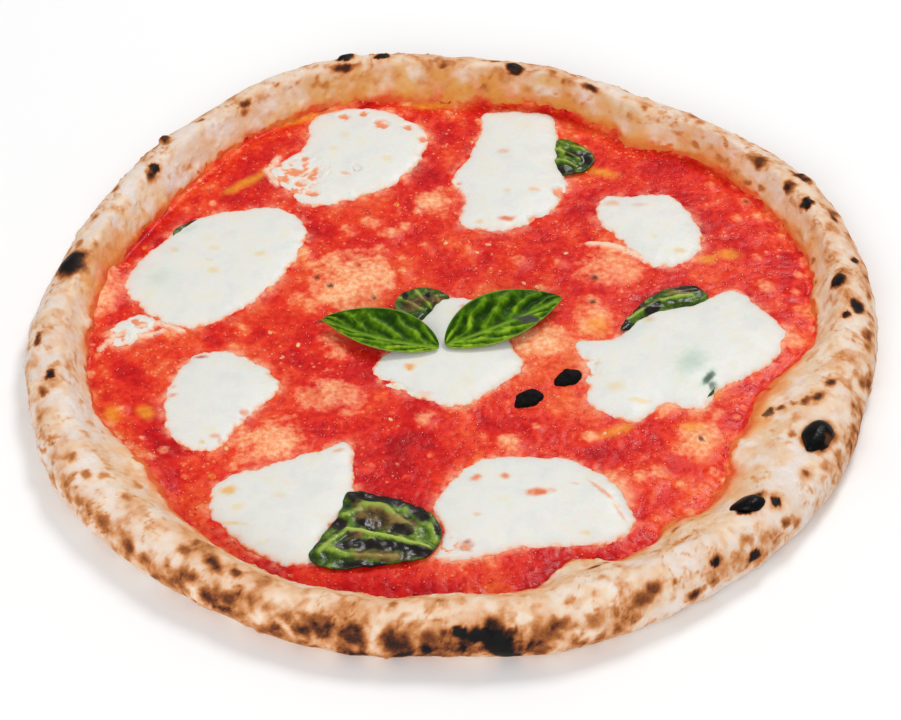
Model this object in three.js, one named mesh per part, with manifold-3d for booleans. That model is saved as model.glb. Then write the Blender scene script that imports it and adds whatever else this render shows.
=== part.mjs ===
// Margherita pizza, baked in a wood-fired oven. Millimetres, +Z up, +Y away from the front.
// The origin is the middle of the flat underside.
//
// The pieces are built in the order in which the real ones are laid: the dough disc with its
// puffed rim, the tomato sauce, the basil that went into the oven, the torn mozzarella that melted
// over its edges, and two fresh leaves on top.

import * as THREE from "three";
import { mergeVertices } from "three/addons/utils/BufferGeometryUtils.js";
import Module from "manifold-3d";

const wasm = await Module();
wasm.setup();

// ---------------------------------------------------------------- driving dimensions

const GAP = 0.3; // clearance kept between pieces that lie on each other
const SIDES = 96; // facets round the pizza
const DOME_SEGMENTS = 10; // facets round a blister
const DOME_SUNK = 0.5; // how deep a blister's widest part sits in what carries it

// The dough. Lists hold one value for each step round the pizza, anticlockwise from +X.
const RIM_RADIUS = 160; // mean outer radius
const RIM_OUT_OF_ROUND = [
  1, 4, 5, 0, -4.5, -3.5, -0.5, 5, 3, -1.5, -4.5, -4.5,
  0, 1.5, 4, 1.5, 0.5, 1, -2, 0.5, -1.5, -1, -0.5, -2,
];
const FLOOR_RADIUS = [
  137, 143.5, 144, 143.5, 137, 142, 138.5, 144.5, 143.5, 137.5, 134, 136,
  137, 137, 131, 134, 136, 134, 130.5, 130.5, 128, 127, 120, 118,
]; // where the rim's inner wall meets the flat floor
const CREST_HEIGHT = 18.5; // mean height of the rim
const CREST_INSET = 12; // from the outer edge in to the highest line
const CREST_WAVES = [
  { count: 2, height: 0.8, phase: 4.2 },
  { count: 5, height: 0.7, phase: 1.1 },
  { count: 9, height: 0.5, phase: 2.7 },
  { count: 16, height: 0.35, phase: 0.4 },
];
const BELLY_SHARE = 0.4; // height of the widest point, as a share of the crest's
const TUCK = 8; // how far the outer edge curls in down to the underside
const FLOOR_HEIGHT = 3.2; // dough under the sauce

// Dough that puffed in over the sauce from the rim: direction in degrees, reach in mm, spread in degrees.
const RIM_TONGUES = [
  { at: 290, reach: 9, spread: 5 },
  { at: 309, reach: 5, spread: 3.5 },
  { at: 57, reach: 5, spread: 3.5 },
  { at: 8, reach: 3, spread: 4 },
  { at: 331, reach: 3, spread: 4 },
];

// Gas bubbles in the floor: middle, half length, half width, turn in degrees, rise.
const BUBBLES = [
  { x: -39, y: 31, long: 20, wide: 17, turn: 40, rise: 2.8 },
  { x: 61, y: 40, long: 16, wide: 14, turn: 60, rise: 2.4 },
  { x: 55, y: 12, long: 13, wide: 10, turn: 80, rise: 1.8 },
  { x: -69, y: -55, long: 19, wide: 15, turn: 10, rise: 2.2 },
  { x: 57, y: -80, long: 13, wide: 11, turn: 70, rise: 2.6 },
  { x: -5, y: 78, long: 10, wide: 9, turn: 0, rise: 1.8 },
  { x: 35, y: -2, long: 13, wide: 11, turn: 0, rise: 1.8 },
  { x: 91, y: -55, long: 14, wide: 11, turn: 60, rise: 1.6 },
  { x: -45, y: -32, long: 15, wide: 12, turn: 20, rise: 1.4 },
  { x: -113, y: -70, long: 22, wide: 10, turn: 125, rise: 5 },
  { x: -133, y: 26, long: 20, wide: 8, turn: 80, rise: 3.5 },
];

// Gentle swellings of the rim, drawn at random with this seed: how many, and their sizes.
const PUFFS = {
  seed: 11, count: 19, long: [10, 18], wide: [8, 12], rise: [0.5, 1.6],
  across: [0.55, 1.15], // where the middle lies: 0 at the foot of the inner wall, 1 on the crest
};

// Thin blisters that stood up and burnt black: middle, half length, half width, turn and height.
const RIM_BLISTERS = [
  { at: 334.3, radius: 147, long: 7.4, wide: 6.4, turn: 60, rise: 3 },
  { at: 316.7, radius: 144, long: 6.4, wide: 4.6, turn: 10, rise: 2.6 },
  { at: 168.8, radius: 150, long: 6, wide: 5, turn: 60, rise: 1.2 },
  { at: 138.6, radius: 153.5, long: 2.6, wide: 2, turn: 60, rise: 2.2 },
  { at: 105.5, radius: 156.5, long: 4.6, wide: 3, turn: 20, rise: 2 },
  { at: 100.5, radius: 154.5, long: 3.6, wide: 2.6, turn: 10, rise: 1.2 },
  { at: 79.8, radius: 145.3, long: 3.6, wide: 3.2, turn: 0, rise: 1.2 },
  { at: 29.2, radius: 159, long: 5, wide: 2.6, turn: 125, rise: 1.4 },
  { at: 6.8, radius: 148, long: 3.8, wide: 3.4, turn: 0, rise: 1.2 },
];
const FLOOR_BLISTERS = [
  { x: 28.5, y: -33, long: 5.6, wide: 4.6, turn: 35, rise: 2.2 },
  { x: 43.5, y: -22, long: 5.6, wide: 4.2, turn: 25, rise: 2.2 },
];

// The sauce.
const SAUCE_DEPTH = 1.8;
const SAUCE_DEPTH_ON_BUBBLE = 0.7;
const SAUCE_DEPTH_AT_EDGE = 0.5;
const SAUCE_CLIMB = 0.07; // how far it runs up the rim's inner wall, as a share of the wall's width

// The mozzarella: outlines in plan.
const CHEESE_THICKNESS = 2.6;
const CHEESE_EDGE = 0.9; // thickness left at the outline
const CHEESE_WAVE = { height: 0.3, size: 9 };
const SLAB_FOOT = 1; // height from which a slab is made up, before what lies under it is cut away
const MOZZARELLA = {
  mozzarella_far_left: [
    [-57, 128], [-44, 135], [-29, 134], [-17, 127], [-10, 118], [-12, 105], [-23, 88],
    [-40, 79], [-56, 75], [-66, 84], [-73, 96], [-64, 106], [-59, 112],
  ],
  mozzarella_far_middle: [
    [13, 131], [27, 133], [40, 130], [43, 118], [43, 100], [46, 86], [39, 72], [31, 64],
    [16, 60], [3, 64], [5, 80], [0, 91], [8, 107], [11, 120],
  ],
  mozzarella_far_right: [
    [60, 79], [72, 81], [86, 81], [93, 72], [98, 56], [94, 44], [79, 39], [68, 52], [57, 69],
  ],
  mozzarella_left: [
    [-100, 68], [-84, 72], [-69, 74], [-59, 66], [-57, 56], [-65, 35], [-83, 13], [-100, 5],
    [-112, 10], [-126, 28], [-122, 41], [-111, 57],
  ],
  mozzarella_left_scrap: [
    [-131, -3], [-129, 6], [-121, 12], [-112, 9], [-116, 2], [-124, -5],
  ],
  mozzarella_left_small: [
    [-97, -10], [-84, -8], [-71, -16], [-64, -27], [-72, -39], [-80, -49], [-86, -60],
    [-99, -57], [-106, -45], [-106, -28],
  ],
  mozzarella_near_left: [
    [-50, -60], [-38, -56], [-36, -72], [-36, -86], [-46, -102], [-49, -115], [-62, -115],
    [-78, -103], [-88, -88], [-84, -75], [-66, -67],
  ],
  mozzarella_near_right: [
    [-6, -88], [1, -73], [13, -64], [30, -63], [46, -66], [60, -79], [65, -96], [58, -105],
    [42, -107], [24, -108], [8, -113], [-6, -113], [-3, -102],
  ],
  mozzarella_right: [
    [47, -3], [62, 0], [74, 13], [92, 18], [109, 26], [118, 16], [127, 3], [119, -15],
    [101, -27], [93, -38], [78, -37], [67, -45], [52, -36], [50, -16],
  ],
  mozzarella_middle: [
    [-4, 21], [9, 21], [19, 9], [23, -5], [27, -16], [15, -29], [3, -37], [-11, -33],
    [-25, -26], [-30, -17], [-20, -4], [-11, 11],
  ],
};

// The basil.
const LEAF_THICKNESS = 0.6;
const LEAF_LIFT = 0.7; // a baked leaf's underside over the sauce
const FOLD_SIZE = 2.7;
const BAKED_BASIL = {
  basil_baked_middle: {
    wrinkle: 0.9,
    outline: [[-22, 17], [-19, 23], [-12, 26], [-3, 23], [0, 18], [-5, 12], [-12, 8], [-18, 10]],
  },
  basil_baked_far: {
    wrinkle: 1.2,
    outline: [[38, 112], [46, 114], [53, 109], [57, 102], [53, 95], [45, 93], [38, 95], [37, 104]],
  },
  basil_baked_right: {
    wrinkle: 1.0,
    outline: [[64, 3], [68, 11], [75, 20], [84, 26], [95, 26], [98, 19], [88, 13], [76, 7]],
  },
  basil_baked_near: {
    wrinkle: 1.6,
    outline: [
      [-39, -82], [-26, -84], [-14, -88], [-6, -95], [-4, -105], [-9, -113], [-25, -117],
      [-44, -119], [-52, -113], [-48, -103], [-42, -93],
    ],
  },
  basil_baked_left: {
    wrinkle: 0.2,
    outline: [[-109, 57], [-106, 63], [-98, 66], [-94, 63], [-97, 58], [-103, 55]],
  },
  basil_baked_tip: {
    wrinkle: 0.3,
    outline: [[90, -22], [97, -22], [98, -28], [95, -33], [91, -31]],
  },
};
// A fresh leaf: both ends of its midrib, the midrib's bow towards +Y, and how far either half reaches
// and rises from it.
const FRESH_BASIL = {
  basil_fresh_left: {
    base: [-5, -9.2, 8.8], tip: [-49.3, 5.3, 9.8], bow: -4,
    far: { reach: 11.5, rise: 5 }, near: { reach: 4.5, rise: -1 },
  },
  basil_fresh_right: {
    base: [-2.5, -8, 8.8], tip: [42, 17.2, 9.8], bow: -2.4,
    far: { reach: 12.6, rise: 5.5 }, near: { reach: 7, rise: -1.2 },
  },
};
const VEIN_COUNT = 5;
const VEIN_RELIEF = 0.45;
const VEIN_SLANT = 1.4; // how far towards the tip a vein runs on its way to the margin, in vein spacings
const LEAF_ARCH = 1.5;

// ---------------------------------------------------------------- values round the pizza

const radians = (degrees) => (degrees * Math.PI) / 180;

const polar = (degrees, radius) => [
  radius * Math.cos(radians(degrees)),
  radius * Math.sin(radians(degrees)),
];

// The value of an evenly stepped closed list at a direction, on a smooth Catmull-Rom curve.
function roundValue(list, degrees) {
  const place = ((((degrees / 360) % 1) + 1) % 1) * list.length;
  const step = Math.floor(place);
  const t = place - step;
  const [a, b, c, d] = [-1, 0, 1, 2].map((k) => list[(step + k + list.length) % list.length]);
  return b + 0.5 * t * (c - a + t * (2 * a - 5 * b + 4 * c - d + t * (3 * (b - c) + d - a)));
}

function turnBetween(degreesA, degreesB) {
  return ((((degreesA - degreesB) % 360) + 540) % 360) - 180;
}

const outerRadius = (degrees) => RIM_RADIUS + roundValue(RIM_OUT_OF_ROUND, degrees);

function floorRadius(degrees) {
  let radius = roundValue(FLOOR_RADIUS, degrees);
  for (const { at, reach, spread } of RIM_TONGUES)
    radius -= reach * Math.exp(-((turnBetween(degrees, at) / spread) ** 2));
  return radius;
}

function crestHeight(degrees) {
  let height = CREST_HEIGHT;
  for (const wave of CREST_WAVES)
    height += wave.height * Math.sin(wave.count * radians(degrees) + wave.phase);
  return height;
}

const crestRadius = (degrees) => outerRadius(degrees) - CREST_INSET;

function wallRadius(degrees, share) {
  const foot = floorRadius(degrees);
  return foot + share * (crestRadius(degrees) - foot);
}

// Repeatable random numbers from 0 to 1.
function randomSource(seed) {
  let state = seed;
  return () => {
    state = (state + 0x6d2b79f5) | 0;
    let t = Math.imul(state ^ (state >>> 15), 1 | state);
    t = (t + Math.imul(t ^ (t >>> 7), 61 | t)) ^ t;
    return ((t ^ (t >>> 14)) >>> 0) / 2 ** 32;
  };
}

const rimPuffs = (() => {
  const random = randomSource(PUFFS.seed);
  const between = ([low, high]) => low + (high - low) * random();
  return Array.from({ length: PUFFS.count }, (_, k) => {
    const at = (360 * (k + 0.6 * random())) / PUFFS.count;
    const [x, y] = polar(at, wallRadius(at, between(PUFFS.across)));
    const [long, wide, rise] = [between(PUFFS.long), between(PUFFS.wide), between(PUFFS.rise)];
    return { x, y, turn: at + 90, long, wide, rise };
  });
})();

// ---------------------------------------------------------------- heights over the plan

// 1 at the middle of an oval, falling smoothly to 0 at its edge.
function ovalShare({ x, y, long, wide, turn }, px, py) {
  const c = Math.cos(radians(turn));
  const s = Math.sin(radians(turn));
  const along = ((px - x) * c + (py - y) * s) / long;
  const across = ((py - y) * c - (px - x) * s) / wide;
  return Math.max(0, 1 - along * along - across * across) ** 1.5;
}

// The rim's inner wall: 0 at its foot and 1 at the crest, rounded at the top.
function wallShare(u) {
  const pillow = Math.sqrt(Math.max(0, 1 - (1 - u) ** 2));
  const slope = u * u * (3 - 2 * u);
  return 0.5 * pillow + 0.5 * slope;
}

const puffHeight = (x, y) =>
  rimPuffs.reduce((sum, puff) => sum + puff.rise * ovalShare(puff, x, y), 0);

const bellyHeight = (degrees) => BELLY_SHARE * crestHeight(degrees);

// The dough's upper surface, from the middle out over the crest to the widest point.
function doughTop(x, y) {
  const degrees = (Math.atan2(y, x) * 180) / Math.PI;
  const radius = Math.hypot(x, y);
  const top = crestRadius(degrees);
  const crest = crestHeight(degrees) + puffHeight(x, y);
  if (radius > top) {
    const belly = bellyHeight(degrees);
    const out = Math.min(1, (radius - top) / CREST_INSET);
    return belly + (crest - belly) * Math.sqrt(1 - out ** 2);
  }
  let height = FLOOR_HEIGHT;
  for (const bubble of BUBBLES) height += bubble.rise * ovalShare(bubble, x, y);
  const foot = floorRadius(degrees);
  if (radius > foot) height += (crest - height) * wallShare((radius - foot) / (top - foot));
  return height;
}

const sauceRadius = (degrees) => wallRadius(degrees, SAUCE_CLIMB);

function sauceDepth(x, y) {
  let bubble = 0;
  for (const b of BUBBLES) bubble = Math.max(bubble, ovalShare(b, x, y));
  const depth = SAUCE_DEPTH + (SAUCE_DEPTH_ON_BUBBLE - SAUCE_DEPTH) * Math.min(1, 1.4 * bubble);
  const toEdge = sauceRadius((Math.atan2(y, x) * 180) / Math.PI) - Math.hypot(x, y);
  const edgeShare = Math.min(1, Math.max(0, toEdge / 6));
  return SAUCE_DEPTH_AT_EDGE + (depth - SAUCE_DEPTH_AT_EDGE) * edgeShare;
}

const sauceTop = (x, y) => doughTop(x, y) + GAP + sauceDepth(x, y);

// A gentle unevenness between -1 and 1.
const ripple = (x, y, size) =>
  Math.sin(x / size + 1.3) * Math.sin(y / size + 0.4) * 0.6 + Math.sin((x - y) / (1.7 * size)) * 0.4;

// ---------------------------------------------------------------- meshes and solids

// A closed skin over rows of points. Each row is a closed ring, and the skin ends in a point at either end.
// The four-sided facets for which leans(row, k) holds are split along their other diagonal.
function skin(first, rows, last, leans = () => false) {
  const positions = [first, ...rows.flat(), last].flat();
  const index = [];
  const n = rows[0].length;
  const at = (row, k) => 1 + row * n + (k % n);
  for (let k = 0; k < n; k++) {
    index.push(0, at(0, k + 1), at(0, k));
    for (let row = 0; row + 1 < rows.length; row++) {
      const [a, b, c, d] = [at(row, k), at(row, k + 1), at(row + 1, k + 1), at(row + 1, k)];
      index.push(...(leans(row, k) ? [a, b, c, a, c, d] : [a, b, d, b, c, d]));
    }
    index.push(at(rows.length - 1, k), at(rows.length - 1, k + 1), 1 + rows.length * n);
  }
  const geometry = new THREE.BufferGeometry();
  geometry.setAttribute("position", new THREE.Float32BufferAttribute(positions, 3));
  geometry.setIndex(index);
  return geometry;
}

function toSolid(geometry) {
  const bare = geometry.clone();
  bare.deleteAttribute("normal");
  bare.deleteAttribute("uv");
  const merged = mergeVertices(bare, 1e-4);
  return new wasm.Manifold(
    new wasm.Mesh({
      numProp: 3,
      vertProperties: new Float32Array(merged.attributes.position.array),
      triVerts: new Uint32Array(merged.index.array),
    }),
  );
}

// The geometry of a solid's largest piece, without the scraps that a cut can leave.
function toGeometry(solid) {
  const [largest] = solid.decompose().sort((a, b) => b.volume() - a.volume());
  const mesh = largest.getMesh();
  const positions = new Float32Array(mesh.numVert * 3);
  for (let i = 0; i < mesh.numVert; i++)
    positions.set(mesh.vertProperties.subarray(i * mesh.numProp, i * mesh.numProp + 3), i * 3);
  const geometry = new THREE.BufferGeometry();
  geometry.setAttribute("position", new THREE.BufferAttribute(positions, 3));
  geometry.setIndex(new THREE.BufferAttribute(mesh.triVerts, 1));
  return geometry;
}

function ring(pointAt) {
  return Array.from({ length: SIDES }, (_, k) => pointAt((360 * k) / SIDES));
}

// A low dome with a flat foot sunk in a surface at height z, turned about +Z.
function dome({ x, y, long, wide, turn, rise }, z) {
  const geometry = new THREE.SphereGeometry(1, DOME_SEGMENTS, DOME_SEGMENTS / 2);
  geometry.rotateX(Math.PI / 2);
  geometry.scale(long, wide, rise + DOME_SUNK);
  const { position } = geometry.attributes;
  for (let i = 0; i < position.count; i++) position.setZ(i, Math.max(position.getZ(i), -DOME_SUNK));
  geometry.rotateZ(radians(turn));
  geometry.translate(x, y, z - DOME_SUNK);
  return toSolid(geometry);
}

// ---------------------------------------------------------------- dough

// Shares of the floor's radius at which it has a ring of points. The sauce has the same rings.
const FLOOR_RINGS = [0.2, 0.38, 0.54, 0.68, 0.8, 0.9, 1];

const onSurface = (x, y, surface) => [x, y, surface(x, y)];

const floorRing = (share, surface) =>
  ring((degrees) => onSurface(...polar(degrees, share * floorRadius(degrees)), surface));

function doughSolid() {
  const rows = [];
  // The underside, and the curl from it out to the widest point.
  for (const angle of [-90, -50, -14])
    rows.push(
      ring((degrees) => {
        const radius = outerRadius(degrees) - TUCK * (1 - Math.cos(radians(angle)));
        return [...polar(degrees, radius), bellyHeight(degrees) * (1 + Math.sin(radians(angle)))];
      }),
    );
  // From the widest point up to the crest.
  for (const angle of [14, 42, 68])
    rows.push(
      ring((degrees) => {
        const radius = crestRadius(degrees) + CREST_INSET * Math.cos(radians(angle));
        return onSurface(...polar(degrees, radius), doughTop);
      }),
    );
  // From the crest down the inner wall.
  for (const share of [0.96, 0.66, 0.36, SAUCE_CLIMB])
    rows.push(
      ring((degrees) => {
        return onSurface(...polar(degrees, wallRadius(degrees, share)), doughTop);
      }),
    );
  for (const share of [...FLOOR_RINGS].reverse()) rows.push(floorRing(share, doughTop));
  let solid = toSolid(skin([0, 0, 0], rows, [0, 0, doughTop(0, 0)]));
  for (const { at, radius, ...blister } of RIM_BLISTERS) {
    const [x, y] = polar(at, radius);
    solid = solid.add(dome({ x, y, ...blister }, doughTop(x, y)));
  }
  return solid;
}

// ---------------------------------------------------------------- sauce

// The sauce, or with a clearance the space that it takes from what lies on it, down through the dough.
function sauceSolid(clearance = 0) {
  const under = (x, y) => (clearance ? 0 : doughTop(x, y) + GAP);
  const over = (x, y) => sauceTop(x, y) + clearance;
  const edge = (surface) =>
    ring((degrees) => onSurface(...polar(degrees, sauceRadius(degrees) + clearance), surface));
  const rows = [
    ...FLOOR_RINGS.map((share) => floorRing(share, under)),
    edge(under),
    edge(over),
    ...[...FLOOR_RINGS].reverse().map((share) => floorRing(share, over)),
  ];
  const leans = (row) => row <= FLOOR_RINGS.length; // both faces are split alike
  let solid = toSolid(skin(onSurface(0, 0, under), rows, onSurface(0, 0, over), leans));
  for (const blister of FLOOR_BLISTERS)
    solid = solid.add(dome(blister, sauceTop(blister.x, blister.y) + clearance));
  return solid;
}

// ---------------------------------------------------------------- sheets: mozzarella and baked basil

// Points round a smooth closed outline, and its middle.
function smoothOutline(points, count) {
  const curve = new THREE.CatmullRomCurve3(
    points.map(([x, y]) => new THREE.Vector3(x, y, 0)), true, "centripetal",
  );
  const round = curve.getSpacedPoints(count).slice(0, count).map((p) => [p.x, p.y]);
  const area = round.reduce((sum, [x, y], k) => {
    const [nx, ny] = round[(k + 1) % count];
    return sum + x * ny - nx * y;
  }, 0);
  if (area < 0) round.reverse();
  const middle = [0, 1].map((axis) => round.reduce((sum, p) => sum + p[axis], 0) / count);
  return { round, middle };
}

// Rings of points from the middle of a sheet, at 0, to its outline, at 1.
const CHEESE_RINGS = [0.45, 0.84, 1];
const LEAF_RINGS = [0.36, 0.7, 1];

// A solid between two height functions of x, y and the share of the way out from the middle.
function sheet({ round, middle }, shares, under, over, grow = 0) {
  const rowAt = (share, surface) =>
    round.map(([x, y]) => {
      const [dx, dy] = [x - middle[0], y - middle[1]];
      const out = share + (share * grow) / Math.hypot(dx, dy);
      const [px, py] = [middle[0] + dx * out, middle[1] + dy * out];
      return [px, py, surface(px, py, share)];
    });
  const rows = [
    ...shares.map((share) => rowAt(share, under)),
    ...[...shares].reverse().map((share) => rowAt(share, over)),
  ];
  const ends = [under, over].map((surface) => [...middle, surface(...middle, 0)]);
  return toSolid(skin(ends[0], rows, ends[1], (row) => row < shares.length));
}

const sheetOutline = (outline) => smoothOutline(outline, 2 * outline.length + 4);

// A baked leaf, or with a clearance the space that it takes from the cheese, down through the sauce.
function bakedLeafSolid({ outline, wrinkle }, clearance = 0) {
  const fold = (x, y, share) => wrinkle * (0.5 + 0.5 * ripple(x, y, FOLD_SIZE)) * (1 - 0.6 * share);
  const under = (x, y, share) => sauceTop(x, y) + LEAF_LIFT + fold(x, y, share);
  const over = (x, y, share) => under(x, y, share) + LEAF_THICKNESS + clearance;
  return sheet(sheetOutline(outline), LEAF_RINGS, clearance ? () => 0 : under, over, clearance);
}

function cheeseSolid(outline, cutters) {
  const swell = (share) => Math.sqrt(1 - share ** 5);
  const over = (x, y, share) =>
    sauceTop(x, y) + CHEESE_EDGE + (CHEESE_THICKNESS - CHEESE_EDGE) * swell(share) +
    CHEESE_WAVE.height * ripple(x, y, CHEESE_WAVE.size) * (1 - share);
  const slab = sheet(sheetOutline(outline), CHEESE_RINGS, () => SLAB_FOOT, over);
  return cutters.reduce((solid, cutter) => solid.subtract(cutter), slab);
}

// ---------------------------------------------------------------- fresh basil

// A point of a leaf: t runs from the base to the tip, and side from -1, the near margin, to 1, the far one.
function freshLeafPoint({ base, tip, bow, far, near }, t, side) {
  const [dx, dy] = [tip[0] - base[0], tip[1] - base[1]];
  const length = Math.hypot(dx, dy);
  const normal = [-dy / length, dx / length].map((v) => v * Math.sign(dx));
  const half = side > 0 ? far : near;
  const width = Math.sin(Math.PI * t ** 0.82) ** 0.75;
  const out = Math.abs(side) * width;
  const sideways = Math.sign(side) * half.reach * out + bow * Math.sin(Math.PI * t);
  const veins = Math.sin(Math.PI * 2 * (VEIN_COUNT * t - VEIN_SLANT * Math.abs(side)));
  const relief = VEIN_RELIEF * veins * Math.sin(Math.PI * Math.abs(side)) * width;
  return [
    base[0] + dx * t + normal[0] * sideways,
    base[1] + dy * t + normal[1] * sideways,
    base[2] + (tip[2] - base[2]) * t + half.rise * out ** 1.15 + LEAF_ARCH * Math.sin(Math.PI * t) + relief,
  ];
}

function freshLeafGeometry(leaf) {
  const steps = 14;
  const sides = [-1, -0.66, -0.33, 0, 0.33, 0.66, 1];
  const rowAt = (k, lift) =>
    sides.map((side) => {
      const [x, y, z] = freshLeafPoint(leaf, k / steps, side);
      return [x, y, z + lift];
    });
  const rows = [];
  for (let k = 1; k < steps; k++)
    rows.push([...rowAt(k, -LEAF_THICKNESS / 2), ...rowAt(k, LEAF_THICKNESS / 2).reverse()]);
  if (leaf.tip[0] < leaf.base[0]) rows.forEach((row) => row.reverse());
  const leans = (row, k) => k < sides.length;
  return skin(freshLeafPoint(leaf, 0, 0), rows, freshLeafPoint(leaf, 1, 0), leans);
}

// ---------------------------------------------------------------- the pizza

const MATERIALS = {
  crust: new THREE.MeshStandardMaterial({ color: 0xdcbf9c, roughness: 0.85, metalness: 0 }),
  sauce: new THREE.MeshStandardMaterial({ color: 0xd13a26, roughness: 0.35, metalness: 0 }),
  cheese: new THREE.MeshStandardMaterial({ color: 0xebeae2, roughness: 0.4, metalness: 0 }),
  freshBasil: new THREE.MeshStandardMaterial({ color: 0x47821c, roughness: 0.5, metalness: 0 }),
  bakedBasil: new THREE.MeshStandardMaterial({ color: 0x2f4a18, roughness: 0.35, metalness: 0 }),
};

const pizza = new THREE.Group();

function place(name, geometry, material) {
  geometry.computeVertexNormals();
  const mesh = new THREE.Mesh(geometry, material);
  mesh.name = name;
  pizza.add(mesh);
}

place("dough", toGeometry(doughSolid()), MATERIALS.crust);
place("tomato_sauce", toGeometry(sauceSolid()), MATERIALS.sauce);
for (const [name, leaf] of Object.entries(BAKED_BASIL))
  place(name, toGeometry(bakedLeafSolid(leaf)), MATERIALS.bakedBasil);

const underCheese = [
  sauceSolid(GAP),
  ...Object.values(BAKED_BASIL).map((leaf) => bakedLeafSolid(leaf, GAP)),
];
for (const [name, outline] of Object.entries(MOZZARELLA))
  place(name, toGeometry(cheeseSolid(outline, underCheese)), MATERIALS.cheese);
for (const [name, leaf] of Object.entries(FRESH_BASIL))
  place(name, freshLeafGeometry(leaf), MATERIALS.freshBasil);

export default pizza;
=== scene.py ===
import math

import bpy
import numpy as np
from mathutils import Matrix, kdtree, noise


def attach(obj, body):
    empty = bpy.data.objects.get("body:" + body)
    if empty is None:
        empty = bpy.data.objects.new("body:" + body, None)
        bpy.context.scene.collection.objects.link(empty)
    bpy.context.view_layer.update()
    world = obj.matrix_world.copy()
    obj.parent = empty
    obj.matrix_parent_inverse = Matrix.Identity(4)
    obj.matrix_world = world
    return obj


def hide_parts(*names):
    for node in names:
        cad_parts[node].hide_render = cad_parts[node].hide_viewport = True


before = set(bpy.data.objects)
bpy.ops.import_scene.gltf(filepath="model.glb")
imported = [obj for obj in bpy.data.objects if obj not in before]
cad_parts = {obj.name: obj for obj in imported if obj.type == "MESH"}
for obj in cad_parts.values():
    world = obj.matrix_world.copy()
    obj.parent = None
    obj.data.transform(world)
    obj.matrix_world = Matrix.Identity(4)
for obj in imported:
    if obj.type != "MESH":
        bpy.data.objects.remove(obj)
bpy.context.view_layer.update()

# ------------------------------------------------------------------ studio
# A plain pale floor under an even bright sky, with a soft lamp behind the pizza and to its right, so that
# what stands up throws a short soft shadow towards the front left, and a weaker one in front that fills it.

AIM = (-0.0006, -0.015, 0.008)
DISTANCE = 1.2
ELEVATION = math.radians(44.3)
LENS = 127.8
FLOOR_SIZE = 8
SKY_STRENGTH = 0.5
# Place, size and power.
LAMPS = {"back_lamp": ((0.55, 1, 1.5), 0.6, 15), "front_lamp": ((-0.5, -1.5, 1), 1.2, 16)}
FLOOR_COLOUR = "#FAFAFA"


def linear(code):
    """A colour given as sRGB hex, as linear red, green, blue and alpha."""
    parts = [int(code[i:i + 2], 16) / 255 for i in (1, 3, 5)]
    return [p / 12.92 if p <= 0.04045 else ((p + 0.055) / 1.055) ** 2.4 for p in parts] + [1.0]


def add(tree, kind, inputs=(), out=None, stops=(), **settings):
    """Adds a node, a shader node if its kind doesn't say, with its settings. Links or sets its inputs, given
    by name or in order, and gives back one output."""
    node = tree.nodes.new(kind if "Node" in kind else "ShaderNode" + kind)
    for name, value in settings.items():
        setattr(node, name, value)
    for key, value in inputs.items() if isinstance(inputs, dict) else enumerate(inputs):
        if isinstance(value, bpy.types.NodeSocket):
            tree.links.new(value, node.inputs[key])
        else:
            node.inputs[key].default_value = linear(value) if isinstance(value, str) else value
    if stops:
        elements = node.color_ramp.elements
        elements.remove(elements[-1])
        elements[0].position, elements[0].color = stops[0][0], linear(stops[0][1])
        for place, code in stops[1:]:
            elements.new(place).color = linear(code)
    if out is not None:
        return node.outputs[out]
    return next((socket for socket in node.outputs if socket.enabled), None)


def start_material(name, *masks):
    """A new material, its nodes, and what they build on: the object's coordinates and masks of its mesh."""
    material = bpy.data.materials.new(name)
    material.use_nodes = True
    tree = material.node_tree
    tree.nodes.clear()
    place = add(tree, "TexCoord", out="Object")
    return material, tree, place, {
        mask: add(tree, "Attribute", out="Fac", attribute_name=mask) for mask in masks
    }


def finish_material(tree, inputs):
    shader = add(tree, "BsdfPrincipled", inputs)
    add(tree, "OutputMaterial", [shader])


def link_object(name, data):
    made = bpy.data.objects.new(name, data)
    bpy.context.scene.collection.objects.link(made)
    return made


camera = link_object("camera", bpy.data.cameras.new("camera"))
camera.location = (
    AIM[0],
    AIM[1] - DISTANCE * math.cos(ELEVATION),
    AIM[2] + DISTANCE * math.sin(ELEVATION),
)
camera.rotation_euler = (math.pi / 2 - ELEVATION, 0, 0)
camera.data.lens = LENS
camera.data.clip_start = 0.01
bpy.context.scene.camera = camera
bpy.context.scene.view_settings.view_transform = "Standard"

for name, (place, size, power) in LAMPS.items():
    lamp = link_object(name, bpy.data.lights.new(name, "AREA"))
    lamp.data.shape = "DISK"
    lamp.data.size = size
    lamp.data.energy = power
    lamp.location = place
    lamp.rotation_euler = (
        -math.atan2(place[1], place[2]), math.atan2(place[0], math.hypot(place[1], place[2])), 0
    )

sky = bpy.data.worlds.new("sky")
sky.use_nodes = True
sky.node_tree.nodes["Background"].inputs["Color"].default_value = (1, 1, 1, 1)
sky.node_tree.nodes["Background"].inputs["Strength"].default_value = SKY_STRENGTH
bpy.context.scene.world = sky

half = FLOOR_SIZE / 2
floor_mesh = bpy.data.meshes.new("floor")
floor_mesh.from_pydata(
    [(-half, -half, 0), (half, -half, 0), (half, half, 0), (-half, half, 0)], [], [(0, 1, 2, 3)]
)
floor = link_object("floor", floor_mesh)
floor_material, tree, *_ = start_material("matte_paper")
finish_material(tree, {"Base Color": FLOOR_COLOUR, "Roughness": 0.9, "Specular IOR Level": 0})
floor_mesh.materials.append(floor_material)

# ------------------------------------------------------------------ dough
# Wheat dough, pressed flat in the middle and baked for a minute and a half on the floor of a
# wood-fired oven. The rim puffed up. Flour keeps it pale, and the flame browned and charred it in spots,
# most of all on the near side. Next to the sauce it took up oil and tomato. Measures are in millimetres.

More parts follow.
